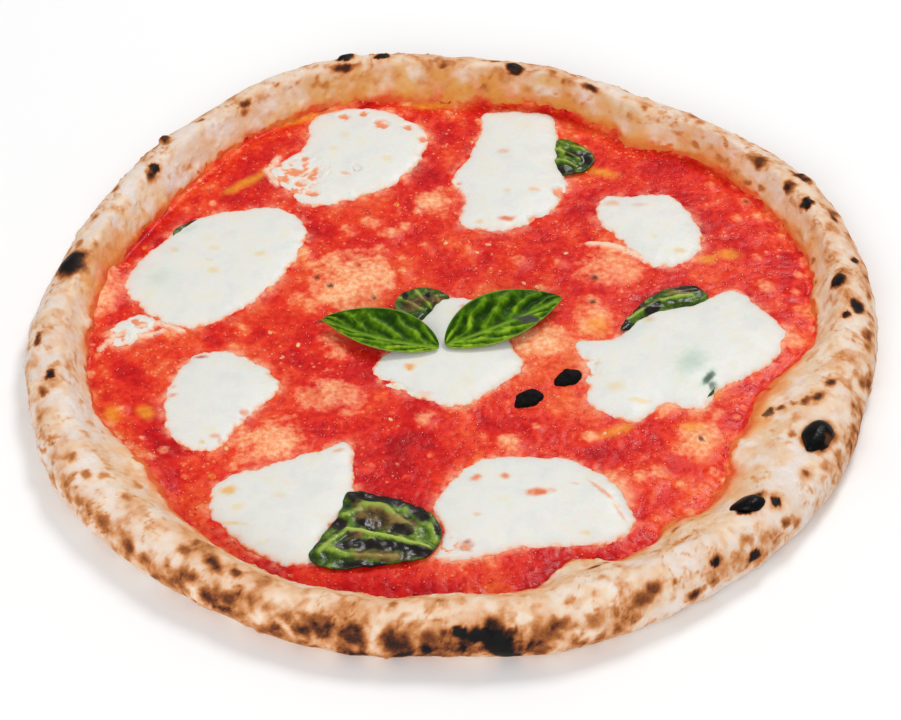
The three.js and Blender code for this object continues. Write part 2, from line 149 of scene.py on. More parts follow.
MM = 0.001
RIM_RADIUS = 160
RIM_OUT_OF_ROUND = [
    1, 4, 5, 0, -4.5, -3.5, -0.5, 5, 3, -1.5, -4.5, -4.5,
    0, 1.5, 4, 1.5, 0.5, 1, -2, 0.5, -1.5, -1, -0.5, -2,
]
FLOOR_RADIUS = [
    137, 143.5, 144, 143.5, 137, 142, 138.5, 144.5, 143.5, 137.5, 134, 136,
    137, 137, 131, 134, 136, 134, 130.5, 130.5, 128, 127, 120, 118,
]
CREST_HEIGHT = 18.5
CREST_INSET = 12
CREST_WAVES = [(2, 0.8, 4.2), (5, 0.7, 1.1), (9, 0.5, 2.7), (16, 0.35, 0.4)]  # count, height, phase
BELLY_SHARE = 0.4
TUCK = 8
FLOOR_HEIGHT = 3.2
SAUCE_CLIMB = 0.07  # how far the sauce runs up the inner wall, as a share of the wall's width
RIM_TONGUES = [(290, 9, 5), (309, 5, 3.5), (57, 5, 3.5), (8, 3, 4), (331, 3, 4)]  # degrees, reach, spread

# Gas bubbles in the floor: x, y, half length, half width, turn in degrees, rise.
BUBBLES = [
    (-39, 31, 20, 17, 40, 2.8), (61, 40, 16, 14, 60, 2.4), (55, 12, 13, 10, 80, 1.8),
    (-69, -55, 19, 15, 10, 2.2), (57, -80, 13, 11, 70, 2.6), (-5, 78, 10, 9, 0, 1.8),
    (35, -2, 13, 11, 0, 1.8), (91, -55, 14, 11, 60, 1.6), (-45, -32, 15, 12, 20, 1.4),
    (-113, -70, 22, 10, 125, 5), (-133, 26, 20, 8, 80, 3.5),
]
PUFF_SEED, PUFF_COUNT = 11, 19
PUFF_LONG, PUFF_WIDE, PUFF_RISE, PUFF_ACROSS = (10, 18), (8, 12), (0.5, 1.6), (0.55, 1.15)


def round_value(values, degrees):
    """The value of an evenly stepped closed list at a direction, on a smooth curve."""
    values = np.array(values, float)
    place = np.asarray(degrees) / 360 % 1 * len(values)
    step = np.floor(place).astype(int)
    t = place - step
    a, b, c, d = [values[(step + k) % len(values)] for k in (-1, 0, 1, 2)]
    return b + 0.5 * t * (c - a + t * (2 * a - 5 * b + 4 * c - d + t * (3 * (b - c) + d - a)))


def turn_between(a, b):
    return (a - b + 180) % 360 - 180


def polar(degrees, radius):
    return radius * np.cos(np.radians(degrees)), radius * np.sin(np.radians(degrees))


def direction(x, y):
    return np.degrees(np.arctan2(y, x)), np.hypot(x, y)


def outer_radius(degrees):
    return RIM_RADIUS + round_value(RIM_OUT_OF_ROUND, degrees)


def floor_radius(degrees):
    radius = round_value(FLOOR_RADIUS, degrees)
    for at, reach, spread in RIM_TONGUES:
        radius = radius - reach * np.exp(-(turn_between(degrees, at) / spread) ** 2)
    return radius


def crest_height(degrees):
    waves = [height * np.sin(count * np.radians(degrees) + phase) for count, height, phase in CREST_WAVES]
    return CREST_HEIGHT + sum(waves)


def wall_radius(degrees, share):
    foot = floor_radius(degrees)
    return foot + share * (outer_radius(degrees) - CREST_INSET - foot)


GRAIN_TURN = np.array([[0.36, 0.48, -0.8], [-0.8, 0.6, 0], [0.48, 0.64, 0.6]])  # so that no lump lies square


def grain(points, size, seed=0, octaves=1):
    """Smooth noise, mostly between -1 and 1, whose lumps are about this many millimetres wide."""
    shifted = points @ GRAIN_TURN / size + 17.3 * (seed + 1)
    return 1.6 * np.array([noise.fractal(p, 1.0, 2.0, octaves) for p in shifted.tolist()])


def layered(points, layers):
    """Several kinds of noise in one, each given by its strength, size, seed and octaves."""
    return sum(strength * grain(points, *kind) for strength, *kind in layers)


def sauce_climb(degrees):
    """The share of the inner wall's width up to which the sauce laps, unevenly."""
    x, y = polar(degrees, RIM_RADIUS)
    spots = np.stack([x, y, 0 * x], -1)
    return SAUCE_CLIMB * (1 + 0.26 * grain(spots, 11, 31) + 0.14 * grain(spots, 4, 32)) ** 2


def random_source(seed):
    """Repeatable random numbers from 0 to 1."""
    state = seed

    def draw():
        nonlocal state
        state = (state + 0x6D2B79F5) & 0xFFFFFFFF
        t = (state ^ state >> 15) * (1 | state) & 0xFFFFFFFF
        t = ((t + ((t ^ t >> 7) * (61 | t) & 0xFFFFFFFF)) & 0xFFFFFFFF) ^ t
        return (t ^ t >> 14) / 2 ** 32

    return draw


def make_puffs():
    draw = random_source(PUFF_SEED)
    puffs = []
    for k in range(PUFF_COUNT):
        at = 360 * (k + 0.6 * draw()) / PUFF_COUNT
        across, long, wide, rise = [
            low + (high - low) * draw() for low, high in (PUFF_ACROSS, PUFF_LONG, PUFF_WIDE, PUFF_RISE)
        ]
        puffs.append((*polar(at, wall_radius(at, across)), long, wide, at + 90, rise))
    return puffs


RIM_PUFFS = make_puffs()


def oval_reach(oval, x, y):
    """How far points lie from an oval's middle: 1 on its edge. A round one needs only x, y and half size."""
    ox, oy, long, wide, turn = (*oval, oval[-1], 0)[:5]
    c, s = math.cos(math.radians(turn)), math.sin(math.radians(turn))
    return np.hypot(((x - ox) * c + (y - oy) * s) / long, ((y - oy) * c - (x - ox) * s) / wide)


def oval_share(oval, x, y):
    return np.maximum(0, 1 - oval_reach(oval, x, y) ** 2) ** 1.5


def wall_share(u):
    return 0.5 * np.sqrt(np.maximum(0, 1 - (1 - u) ** 2)) + 0.5 * u * u * (3 - 2 * u)


def puff_height(x, y):
    return sum(puff[5] * oval_share(puff, x, y) for puff in RIM_PUFFS)


def floor_top(x, y):
    return FLOOR_HEIGHT + sum(bubble[5] * oval_share(bubble, x, y) for bubble in BUBBLES)


def dough_top(x, y):
    """The dough's upper surface inside the crest."""
    degrees, radius = direction(x, y)
    foot, top = floor_radius(degrees), outer_radius(degrees) - CREST_INSET
    share = np.clip((radius - foot) / (top - foot), 0, 1)
    height = floor_top(x, y)
    crest = crest_height(degrees) + puff_height(x, y)
    return height + (crest - height) * wall_share(share)


def rim_points(degrees, across):
    """Points on the rim: across is 0 at the inner wall's foot, 1 on the crest, 2 where the rim is widest
    and 3 at the underside."""
    degrees, across = np.broadcast_arrays(np.asarray(degrees, float), np.asarray(across, float))
    sine = 2 - np.maximum(across, 1)
    cosine = np.sqrt(np.maximum(0, 1 - sine ** 2))
    outer, belly = outer_radius(degrees), BELLY_SHARE * crest_height(degrees)
    radius = np.where(sine > 0, outer - CREST_INSET * (1 - cosine), outer - TUCK * (1 - cosine))
    radius = np.where(across < 1, wall_radius(degrees, across), radius)
    x, y = polar(degrees, radius)
    crest = crest_height(degrees) + puff_height(x, y)
    z = np.where(sine > 0, belly + (crest - belly) * sine, belly * (1 + sine))
    return np.stack([x, y, np.where(across < 1, dough_top(x, y), z)], -1)


def soft_step(value, low, high):
    t = np.clip((value - low) / (high - low), 0, 1)
    return t * t * (3 - 2 * t)


def cover(ovals, x, y, ragged, start, full, strengths=1):
    """How strongly any of these ovals covers points: not at all past start, fully within full."""
    covered = np.zeros(len(x))
    for oval, strength in zip(ovals, np.broadcast_to(strengths, len(ovals))):
        covered = np.maximum(covered, strength * soft_step(oval_reach(oval, x, y) + ragged, start, full))
    return covered


def on_surface(surface, x, y, lift=0):
    """Points at these x and y, this far above a surface."""
    x, y = np.atleast_1d(x, y)
    return np.stack([x, y, surface(x, y) + lift], -1)


def skin(rings):
    """Points and faces of a closed skin over rings of points. A ring may have a whole fraction of its
    neighbour's points, and the first and the last are single points."""
    starts = np.cumsum([0] + [len(ring) for ring in rings])
    faces = []
    for a, b, ring, after in zip(starts, starts[1:], rings, rings[1:]):
        count = max(len(ring), len(after))
        k = np.arange(count)
        following = (k + 1) % count
        corners = [
            a + k * len(ring) // count, a + following * len(ring) // count,
            b + following * len(after) // count, b + k * len(after) // count,
        ]
        if len(ring) == len(after):
            faces += np.stack(corners, 1).tolist()
        else:
            faces += [list(dict.fromkeys(face)) for face in np.stack(corners, 1).tolist()]
    return np.concatenate(rings), faces


def give_masks(mesh, masks):
    for mask, values in masks.items():
        attribute = mesh.attributes.new(mask, "FLOAT", "POINT")
        attribute.data.foreach_set("value", np.asarray(values, np.float32))


def make_mesh(name, points, faces, material, masks):
    mesh = bpy.data.meshes.new(name)
    mesh.from_pydata((points * MM).tolist(), [], faces)
    mesh.polygons.foreach_set("use_smooth", [True] * len(mesh.polygons))
    give_masks(mesh, masks)
    mesh.materials.append(material)
    return mesh


def mesh_normals(points, faces):
    mesh = bpy.data.meshes.new("shape")
    mesh.from_pydata(points.tolist(), [], faces)
    normals = np.empty(3 * len(points), np.float32)
    mesh.vertex_normals.foreach_get("vector", normals)
    bpy.data.meshes.remove(mesh)
    return normals.reshape(-1, 3)


def place_piece(name, mesh, slot, *nodes):
    piece = link_object(name, mesh)
    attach(piece, "root")
    if nodes:
        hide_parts(*nodes)
    return piece


# How strongly the flame browned the rim, for each step round it: on the outer side, on the crest and on
# the inner wall. Flour is how much of it stayed white.
BROWN_OUTSIDE = [
    0.42, 0.4, 0.38, 0.38, 0.38, 0.42, 0.42, 0.42, 0.38, 0.36, 0.34, 0.32,
    0.32, 0.28, 0.32, 0.42, 0.48, 0.58, 0.64, 0.58, 0.32, 0.28, 0.3, 0.38,
]
BROWN_CREST = [
    0.24, 0.24, 0.22, 0.2, 0.22, 0.28, 0.3, 0.26, 0.2, 0.18, 0.2, 0.2,
    0.2, 0.18, 0.18, 0.24, 0.32, 0.32, 0.3, 0.28, 0.18, 0.1, 0.11, 0.18,
]
BROWN_INSIDE = [
    0.18, 0.18, 0.16, 0.12, 0.17, 0.24, 0.26, 0.24, 0.14, 0.1, 0.12, 0.16,
    0.1, 0.1, 0.12, 0.16, 0.2, 0.18, 0.2, 0.18, 0.16, 0.14, 0.16, 0.18,
]
FLOUR = [
    0.5, 0.5, 0.7, 0.9, 0.8, 0.5, 0.3, 0.4, 0.6, 0.8, 0.9, 0.9,
    0.9, 0.9, 0.8, 0.5, 0.3, 0.2, 0.2, 0.3, 0.8, 0.9, 0.8, 0.6,
]
# How much oil ran down the inner wall, and how far tomato stained it, in millimetres.
OIL = [
    0.3, 0.4, 0.4, 0.5, 0.7, 0.9, 1, 0.8, 0.5, 0.3, 0.3, 0.5,
    0.3, 0.1, 0.2, 0.3, 0.4, 0.3, 0.2, 0.3, 0.5, 0.5, 0.4, 0.4,
]
STAIN_REACH = [
    3.5, 4, 4, 5, 6, 5, 6, 5, 3.5, 3, 4, 11,
    6.5, 2.6, 6, 10, 10, 14, 26, 12, 6, 7, 5, 9,
]

# Browned and burnt spots: degrees, place across the rim, half length along it, half width, and heat.
SPOTS = [
    (106.2, 1.06, 3.4, 1.8, 1), (100.7, 1.02, 2.8, 1.6, 1), (106.8, 0.83, 4.6, 1.8, 0.8),
    (91.3, 0.88, 1.6, 1.2, 0.65), (124.4, 0.87, 2.6, 1.6, 0.75), (124.9, 0.65, 2.2, 1.4, 0.55),
    (121.5, 0.8, 3.5, 2.2, 0.36), (118.1, 0.91, 1, 0.8, 0.6), (132.1, 1.03, 1.8, 1.4, 0.6),
    (138.7, 1.15, 2.2, 2, 0.8), (145.2, 0.88, 2.4, 2, 0.95), (146.6, 0.84, 2.2, 2, 0.85),
    (151.2, 1.21, 2, 1.6, 0.6), (158.5, 1.14, 2.2, 1.6, 0.55), (164.5, 1.12, 2.4, 2, 0.5),
    (168.8, 1.06, 6.4, 5.2, 1.1), (164.7, 0.82, 2.2, 1.6, 0.5), (138.6, 0.31, 1.6, 1.2, 0.45),
    (184.5, 1.18, 3.2, 1.2, 0.8), (192.7, 1.02, 3, 1.6, 0.9), (194.8, 1.15, 2.2, 1.6, 0.65),
    (190.8, 0.96, 2.5, 1.2, 0.36), (187.6, 0.41, 4, 0.9, 0.34), (189.4, 0.5, 4, 0.8, 0.32),
    (208.8, 1.06, 2, 1.6, 0.5), (212.4, 1.04, 2.2, 1.6, 0.5), (214.1, 0.94, 1.8, 1.6, 0.45),
    (216.9, 0.47, 1.4, 1.4, 0.5), (219.2, 0.92, 2, 1.8, 0.5), (214.2, 1.51, 1.8, 1.6, 0.5),
    (219.2, 1.48, 2.4, 2.2, 0.6), (224.8, 1.63, 3, 2.4, 0.72), (227.6, 1.66, 3, 2.2, 0.66),
    (232.2, 1.06, 2.6, 1.8, 0.6), (236.8, 1.03, 3, 2.2, 0.84), (234.8, 1.43, 3, 2, 0.66),
    (237.8, 1.7, 3, 2.4, 0.82), (241, 1.47, 2.6, 2.2, 0.72), (240.2, 1.02, 2.4, 1.6, 0.72),
    (251.2, 1.61, 3.6, 2.4, 0.82), (249, 1.35, 3, 2.2, 0.62), (253.5, 1.28, 2.8, 2, 0.6),
    (258.2, 1.59, 3, 2.4, 0.8), (263.1, 1.7, 5, 3, 0.86), (267.3, 1.54, 3, 2.4, 0.72),
    (271, 1.42, 2.6, 2.2, 1), (273.2, 1.46, 3.6, 2.8, 1.02), (275.1, 1.64, 4.6, 4.4, 1.1),
    (276.4, 2.05, 4, 3.6, 1.1), (277.2, 2.5, 3.8, 3.2, 1.08), (275.2, 1.24, 3.4, 2.6, 0.86),
    (281.5, 1.55, 4.6, 3.4, 0.62), (287.9, 1.42, 3.4, 2.4, 0.55), (294.6, 1.3, 3.4, 2.4, 0.7),
    (297, 1.2, 3, 2.2, 0.7), (306.6, 1.3, 2, 1.4, 0.95), (312.3, 1.66, 2.4, 1.6, 0.9),
    (302.5, 1.8, 4, 1.6, 0.82), (291.6, 0.49, 2.8, 1.2, 0.66), (293.4, 0.36, 1.6, 1, 0.6),
    (305.9, 0.69, 1.6, 1, 0.5), (307.7, 0.3, 1.6, 1.4, 0.62), (316.7, 0.87, 5.6, 3.2, 1.1),
    (319.6, 1.05, 2.2, 1.8, 0.95), (318.8, 1.43, 1.8, 1.4, 0.66), (312, 1.21, 2.8, 2, 0.5),
    (314.8, 1.43, 3, 2, 0.45), (334.3, 1, 6.6, 5.2, 1.1), (333.6, 0.69, 1.6, 1.2, 0.55),
    (326.8, 1.04, 3.6, 2.4, 0.4), (327, 1.04, 1.2, 1, 0.66), (339, 0.27, 2.4, 1.8, 0.9),
    (339.8, 0.39, 1.3, 2.6, 0.72), (340.4, 0.56, 1.2, 3, 0.6), (340.9, 0.68, 1.4, 2, 0.7),
    (341.8, 0.83, 2, 1.6, 0.85), (344.9, 0.93, 2.2, 1.8, 0.8), (347.5, 1.37, 2.4, 2, 0.66),
    (333.4, 1.33, 2, 1.6, 0.5), (79.8, 0.97, 3.8, 3, 0.9), (83.1, 1.06, 3.4, 1.2, 0.75),
    (66.9, 0.97, 2.8, 1.5, 0.88), (57.4, 0.94, 1.8, 1.2, 0.5), (50.7, 0.45, 2, 1.2, 0.4),
    (36.1, 0.89, 3.6, 2.6, 0.78), (28.9, 0.79, 2.7, 2, 0.84), (24.2, 0.87, 3, 2.6, 0.96),
    (33.3, 0.3, 2.2, 1.2, 0.5), (29.7, 1.09, 5, 1.6, 0.85), (21, 1.15, 3, 1.4, 0.8),
    (11.6, 1.16, 1.8, 1.8, 0.98), (6.8, 0.78, 3.6, 3, 1.02), (1.4, 1.05, 3.6, 3, 0.96),
    (359.5, 0.96, 2.2, 1.8, 0.9), (11.7, 0.14, 1.2, 1, 0.7), (356.3, 1.25, 2.2, 1.8, 0.72),
    (4.5, 1.3, 2.4, 1.4, 0.6), (47.5, 0.34, 2.6, 1.3, 0.42), (44.6, 0.4, 2.4, 1.4, 0.42),
    (42.1, 0.28, 4.4, 1.8, 0.5), (38.9, 0.24, 3, 1.5, 0.54), (36.4, 0.18, 2.4, 1.3, 0.6),
    (21.7, 0.22, 3.6, 1.2, 0.46), (15.9, 0.2, 1.5, 1.2, 0.58), (62.7, 0.44, 1.2, 0.9, 0.5),
    (58.5, 0.55, 2.4, 1.5, 0.4),
]
# Small blisters: degrees, place across the rim, half length, half width, rise.
SMALL_BLISTERS = [
    (168.8, 1.1, 6, 5, 1.2), (138.6, 1.22, 2.6, 2, 2.2), (105.5, 1.1, 4.6, 3, 1.8),
    (100.5, 1.06, 3.6, 2.6, 1.2), (79.8, 0.97, 3.6, 3.2, 1.2), (29.2, 1.2, 5, 2.6, 1.4),
    (6.8, 0.8, 3.8, 3.4, 1.2),
]
SPOT_HALO = 2  # how far the tan ring round a burnt spot reaches
SPOT_FRAY = 0.8  # how far a spot's edge runs in and out
BURNT, BURNT_BLUR, BROWN_BLUR = 0.88, 0.28, 0.8  # a burnt spot's edge is crisper than a brown one's
CRUST_LUMPS = [(0.5, 11, 1), (0.26, 4.5, 2), (0.1, 1.9, 3)]  # height, size and seed
FOOT_LUMP_HEIGHT, FOOT_LUMP_SIZE = 0.45, 5.5
PIMPLE_HEIGHT, PIMPLE_SIZE = 0.45, 3.1
EVEN_HEAT, MOTTLE_HEAT, BLOTCH_HEAT = 0.52, 0.45, 0.6  # how patchy the browning is
WRINKLE_HEAT = FRECKLE_HEAT = 0.2
FOOT_PALER = 0.45  # the share of its browning that the foot of the rim lacks

ROUND = 1296  # points round the rim
UNDERSIDE_SHARES = (0.3, 0.6, 0.85, 0.97)
# Where its rings lie across the rim: up round the outside to the crest, and down the inner wall.
BEND_ANGLES = np.concatenate([np.linspace(-90, -9, 10), np.linspace(0, 87, 20)])
BEND_ACROSS = 2 - np.sin(np.radians(BEND_ANGLES))
WALL_ACROSS = np.linspace(0.985, 0, 37) ** 1.6
MIDDLE_ACROSS = -5.0
FLOOR_SHARES = [0.985, 0.95, 0.9, 0.84, 0.76, 0.68, 0.58, 0.48, 0.36, 0.24, 0.12]


def spot_offsets(at, across, points):
    """How far points lie from a place on the rim, along the rim and aside from it."""
    along_way = np.array([-math.sin(math.radians(at)), math.cos(math.radians(at)), 0])
    offset = points - rim_points(at, across)
    along = offset @ along_way
    return along, np.linalg.norm(offset - along[:, None] * along_way, axis=1)


fine = np.arange(ROUND) * 360 / ROUND
coarse = fine[::4]
rings, across = [np.zeros((1, 3))], [np.array([3.0])]
for share in UNDERSIDE_SHARES:
    rings.append(rim_points(coarse, 3.0) * [share, share, 1])
    across.append(np.full(len(coarse), 3.0))
for value in [*BEND_ACROSS, *WALL_ACROSS]:
    rings.append(rim_points(fine, value))
    across.append(np.full(ROUND, value))
for share in FLOOR_SHARES:
    rings.append(on_surface(floor_top, *polar(coarse, share * floor_radius(coarse))))
    across.append(np.full(len(coarse), (1 - share) * MIDDLE_ACROSS))
rings.append(on_surface(floor_top, 0, 0))
across.append(np.array([MIDDLE_ACROSS]))
points, faces = skin(rings)
across = np.concatenate(across)
degrees = direction(points[:, 0], points[:, 1])[0]
on_top = (across > -0.3) & (across < 2.98)
rim = np.where(on_top)[0]

# Relief: gentle lumps, small wrinkles and the pimples of tiny gas bubbles, all fading under the sauce.
normals = mesh_normals(points, faces)
fade = soft_step(across, -0.08, 0.04) * soft_step(across, 2.98, 2.6)
lumps = np.zeros(len(points))
foot_lumps = FOOT_LUMP_HEIGHT * grain(points[rim], FOOT_LUMP_SIZE, 15, 2)
lumps[rim] = layered(points[rim], CRUST_LUMPS) + foot_lumps * soft_step(across[rim], 0.4, 0.05)
pimples = np.zeros(len(points))
pimples[rim] = soft_step(grain(points[rim], PIMPLE_SIZE, 4), 0.62, 1) * PIMPLE_HEIGHT
domes = np.zeros(len(points))
for at, place, long, wide, rise in SMALL_BLISTERS:
    along, aside = spot_offsets(at, place, points)
    domes += rise * np.sqrt(np.maximum(0, 1 - (along / long) ** 2 - (aside / wide) ** 2))
smooth_points = points.copy()
points = points + normals * ((lumps + pimples) * fade + domes)[:, None]

outside = soft_step(across, 1.08, 1.4)
inside = soft_step(across, 0.92, 0.5)
bottom = soft_step(across, 2.3, 2.9)
base = (
    round_value(BROWN_OUTSIDE, degrees) * outside * (1 - FOOT_PALER * bottom)
    + round_value(BROWN_INSIDE, degrees) * inside
    + round_value(BROWN_CREST, degrees) * (1 - outside - inside)
)
mottle, blotch = grain(points, 12, 5, 3), grain(points, 5.5, 6, 3)
heat = base * (EVEN_HEAT + MOTTLE_HEAT * mottle + BLOTCH_HEAT * soft_step(blotch, -0.2, 1))
wrinkle = soft_step(np.abs(grain(points, 8, 10, 3)), 0.16, 0) * soft_step(grain(points, 14, 11), -0.2, 0.5)
heat = heat + WRINKLE_HEAT * wrinkle * soft_step(across, 0.3, 0.7)
edge_noise = grain(points, 3.2, 7, 3)
freckles = soft_step(grain(points, 4.6, 12, 2), 0.25, 0.8) * soft_step(grain(points, 17, 13), -0.5, 0.4)
heat = heat + 0.07 * np.maximum(0, edge_noise) + FRECKLE_HEAT * freckles * soft_step(across, 0.1, 0.4)
for at, place, long, wide, strength in SPOTS:
    near = np.where(np.abs(smooth_points - rim_points(at, place)).max(1) < 3 * long + 4)[0]
    along, aside = spot_offsets(at, place, smooth_points[near])
    reach = np.hypot(along / long, aside / wide) + SPOT_FRAY * edge_noise[near] / min(long, wide)
    blur = max(BURNT_BLUR, 0.13 * wide) if strength > BURNT else BROWN_BLUR
    halo = 0.5 * strength * np.exp(-np.maximum((reach - 1) * min(long, wide), 0) / SPOT_HALO)
    heat[near] += np.maximum(0, strength - heat[near]) * soft_step(reach, 1 + blur, 1 - blur)
    heat[near] = np.maximum(heat[near], halo * (0.8 + 0.4 * mottle[near]))

white = round_value(FLOUR, degrees) * soft_step(grain(points, 9, 8, 2), -0.75, 0.35)
wet = round_value(OIL, degrees) * soft_step(across, 1.4, 0.5) * soft_step(grain(points, 8, 9, 2), -0.6, 0.5)
climb = sauce_climb(degrees)
gap = np.linalg.norm(smooth_points - rim_points(degrees, climb), axis=1) * np.sign(across - climb)
reach = round_value(STAIN_REACH, degrees) * np.maximum(0.2, 1 + 0.7 * mottle + 0.5 * edge_noise)
stain = np.exp(-np.maximum(gap + 1.3 * edge_noise, 0) / reach) * soft_step(across, 1.1, 0.7)

# Baked flour and water: matt and dusty, with a fine crackled skin, shinier where it burnt or took up oil.
crust_material, tree, place, mask = start_material("baked_wheat_crust", "browning", "flour", "oil", "tomato")
speck = add(tree, "TexNoise", {"Vector": place, "Scale": 900, "Detail": 3, "Roughness": 0.65})
cloud = add(tree, "TexNoise", {"Vector": place, "Scale": 260, "Detail": 3, "Roughness": 0.6})
wobble = add(tree, "Math", [cloud, 0.22, -0.11], operation="MULTIPLY_ADD")
wobble = add(tree, "Math", [speck, 0.3, wobble], operation="MULTIPLY_ADD")
warm = mask["browning"]
for more in (wobble, -0.15):
    warm = add(tree, "Math", [warm, more], operation="ADD")
baked = add(
    tree, "ValToRGB", [warm],
    stops=[
        (0, "#F1E2D2"), (0.13, "#ECCEB0"), (0.26, "#E2B088"), (0.4, "#CD8853"), (0.54, "#A56232"),
        (0.68, "#763E22"), (0.8, "#452416"), (0.91, "#150C0A"), (1, "#060404"),
    ],
)
pale_here = add(tree, "MapRange", [warm, 0.05, 0.32, 1, 0])
dusted = add(tree, "Math", [mask["flour"], pale_here], operation="MULTIPLY")
colour = add(tree, "Mix", {0: dusted, 6: baked, 7: "#E8DDD8"}, data_type="RGBA")
oiled = add(tree, "Math", [mask["oil"], 0.95], operation="MULTIPLY")
colour = add(tree, "Mix", {0: oiled, 6: colour, 7: "#F4CC78"}, data_type="RGBA", blend_type="MULTIPLY")
tomato = add(
    tree, "ValToRGB", [mask["tomato"]],
    stops=[(0.3, "#F0BC88"), (0.55, "#F0A466"), (0.78, "#EA8048"), (0.95, "#E15C30")],
)
golden = add(tree, "Math", [mask["oil"], 0.85], operation="MULTIPLY")
tomato = add(tree, "Mix", {0: golden, 6: tomato, 7: "#E2A44A"}, data_type="RGBA")
stained = add(tree, "Math", [mask["tomato"], 1.15], operation="MULTIPLY", use_clamp=True)
brown_through = add(tree, "MapRange", [warm, 0.26, 0.55, 1, 0.25])
stained = add(tree, "Math", [stained, brown_through], operation="MULTIPLY")
colour = add(tree, "Mix", {0: stained, 6: colour, 7: tomato}, data_type="RGBA")
shade = add(tree, "MapRange", [speck, 0.3, 0.7, 0.9, 1.06])
colour = add(tree, "Mix", {0: 1, 6: colour, 7: shade}, data_type="RGBA", blend_type="MULTIPLY")
matt = add(tree, "MapRange", [warm, 0.75, 0.98, 0.78, 0.6])
matt = add(tree, "Math", [mask["oil"], -0.3, matt], operation="MULTIPLY_ADD")
crackle = add(tree, "Bump", {"Height": speck, "Distance": 0.0003, "Strength": 0.45})
finish_material(tree, {
    "Base Color": colour, "Roughness": matt, "Normal": crackle, "Specular IOR Level": 0.17,
})

dough_mesh = make_mesh(
    "dough_crust", points, faces, crust_material,
    {"browning": heat, "flour": white, "oil": wet, "tomato": stain},
)
place_piece("dough_crust", dough_mesh, "crust", "dough")

# ------------------------------------------------------------------ burnt blisters
# Thin bubbles of dough that rose to the flame and grew out of it: two big ones on the rim and two in the
# middle, burnt to a black, slightly shiny shell.

# Degrees and radius or x and y, half length, half width, turn, rise.
RIM_BLISTERS = [(334.3, 147, 7.2, 6.2, 60, 3), (316.7, 144, 6.4, 4.2, 10, 2.6)]
FLOOR_BLISTERS = [(28.5, -33, 5.8, 4.1, 40, 2.2), (43.5, -22, 5.8, 3.9, 28, 2.2)]
BLISTER_ROUND, BLISTER_STEPS = 56, 12
BLISTER_FOOT = [(0.9, -0.6), (1, -0.35)]  # share of its half sizes, and height
BLISTER_DEPTH = 1  # how deep its middle reaches down
PUCKERS = [(2, 0.05), (5, 0.02)]  # count and depth
TAIL_LONGER, TAIL_SLIMMER = 0.12, 0.35
TORN_PLACE = (136.6, -66.4, 17.6)  # where the biggest shell broke and shows its brown inside
TORN_DEPTH = 0.5
SAUCE_DEPTH = 1.8
SAUCE_DEPTH_ON_BUBBLE = 0.7
SAUCE_DEPTH_AT_EDGE = 0.5
SAUCE_EDGE_WIDTH = 6
SAUCE_GAP = 0.3


def sauce_top(x, y):
    """The sauce's smooth upper surface."""
    bubble = np.max([oval_share(b, x, y) for b in BUBBLES], axis=0)
    depth = SAUCE_DEPTH + (SAUCE_DEPTH_ON_BUBBLE - SAUCE_DEPTH) * np.minimum(1, 1.4 * bubble)
    degrees, radius = direction(x, y)
    edge = np.clip((wall_radius(degrees, SAUCE_CLIMB) - radius) / SAUCE_EDGE_WIDTH, 0, 1)
    return dough_top(x, y) + SAUCE_GAP + SAUCE_DEPTH_AT_EDGE + (depth - SAUCE_DEPTH_AT_EDGE) * edge


def over_crest(x, y):
    """The height of the rim where a blister stands on it."""
    degrees, radius = direction(x, y)
    out = np.clip((radius - outer_radius(degrees)) / CREST_INSET + 1, 0, 1)
    belly = BELLY_SHARE * crest_height(degrees)
    crest = crest_height(degrees) + puff_height(x, y)
    return np.where(out > 0, belly + (crest - belly) * np.sqrt(1 - out ** 2), dough_top(x, y))


def blister_rings(x, y, long, wide, turn, rise, surface):
    """A dome with a puckered foot that follows the surface under it."""
    angles = np.linspace(0, 2 * np.pi, BLISTER_ROUND, endpoint=False)
    c, s = math.cos(math.radians(turn)), math.sin(math.radians(turn))
    dome = [(math.cos(t), rise * math.sin(t)) for t in np.linspace(0.12, 1.45, BLISTER_STEPS)]
    pucker = 1 + sum(depth * np.sin(count * angles + at) for (count, depth), at in zip(PUCKERS, (x, y)))
    tail = np.maximum(0, -np.cos(angles)) ** 2
    made = [on_surface(surface, x, y, -BLISTER_DEPTH)]
    for share, lift in BLISTER_FOOT + dome:
        u = share * long * pucker * np.cos(angles) * (1 + TAIL_LONGER * tail)
        v = share * wide * pucker * np.sin(angles) * (1 - TAIL_SLIMMER * tail)
        made.append(on_surface(surface, x + u * c - v * s, y + u * s + v * c, lift))
    made.append(on_surface(surface, x, y, rise))
    return made


pieces = []
for at, radius, long, wide, turn, rise in RIM_BLISTERS:
    x, y = polar(at, radius)
    pieces.append(skin(blister_rings(x, y, long, wide, turn, rise, over_crest)))
for x, y, long, wide, turn, rise in FLOOR_BLISTERS:
    pieces.append(skin(blister_rings(x, y, long, wide, turn, rise, sauce_top)))
points = np.concatenate([piece[0] for piece in pieces])
starts = np.cumsum([0] + [len(piece[0]) for piece in pieces])
faces = [[start + k for k in face] for start, piece in zip(starts, pieces) for face in piece[1]]
normals = mesh_normals(points, faces)
on_floor = np.arange(len(points)) >= sum(len(piece[0]) for piece in pieces[:len(RIM_BLISTERS)])
rough = (0.08 + 0.3 * on_floor) * grain(points, 2.6, 21, 2)
rough = rough + (0.02 + 0.05 * on_floor) * grain(points, 0.9, 22)
points = points + normals * rough[:, None]
torn = soft_step(np.linalg.norm(points - TORN_PLACE, axis=1) + 0.8 * grain(points, 2, 23), 3.4, 1.6)
points = points - normals * TORN_DEPTH * torn[:, None]

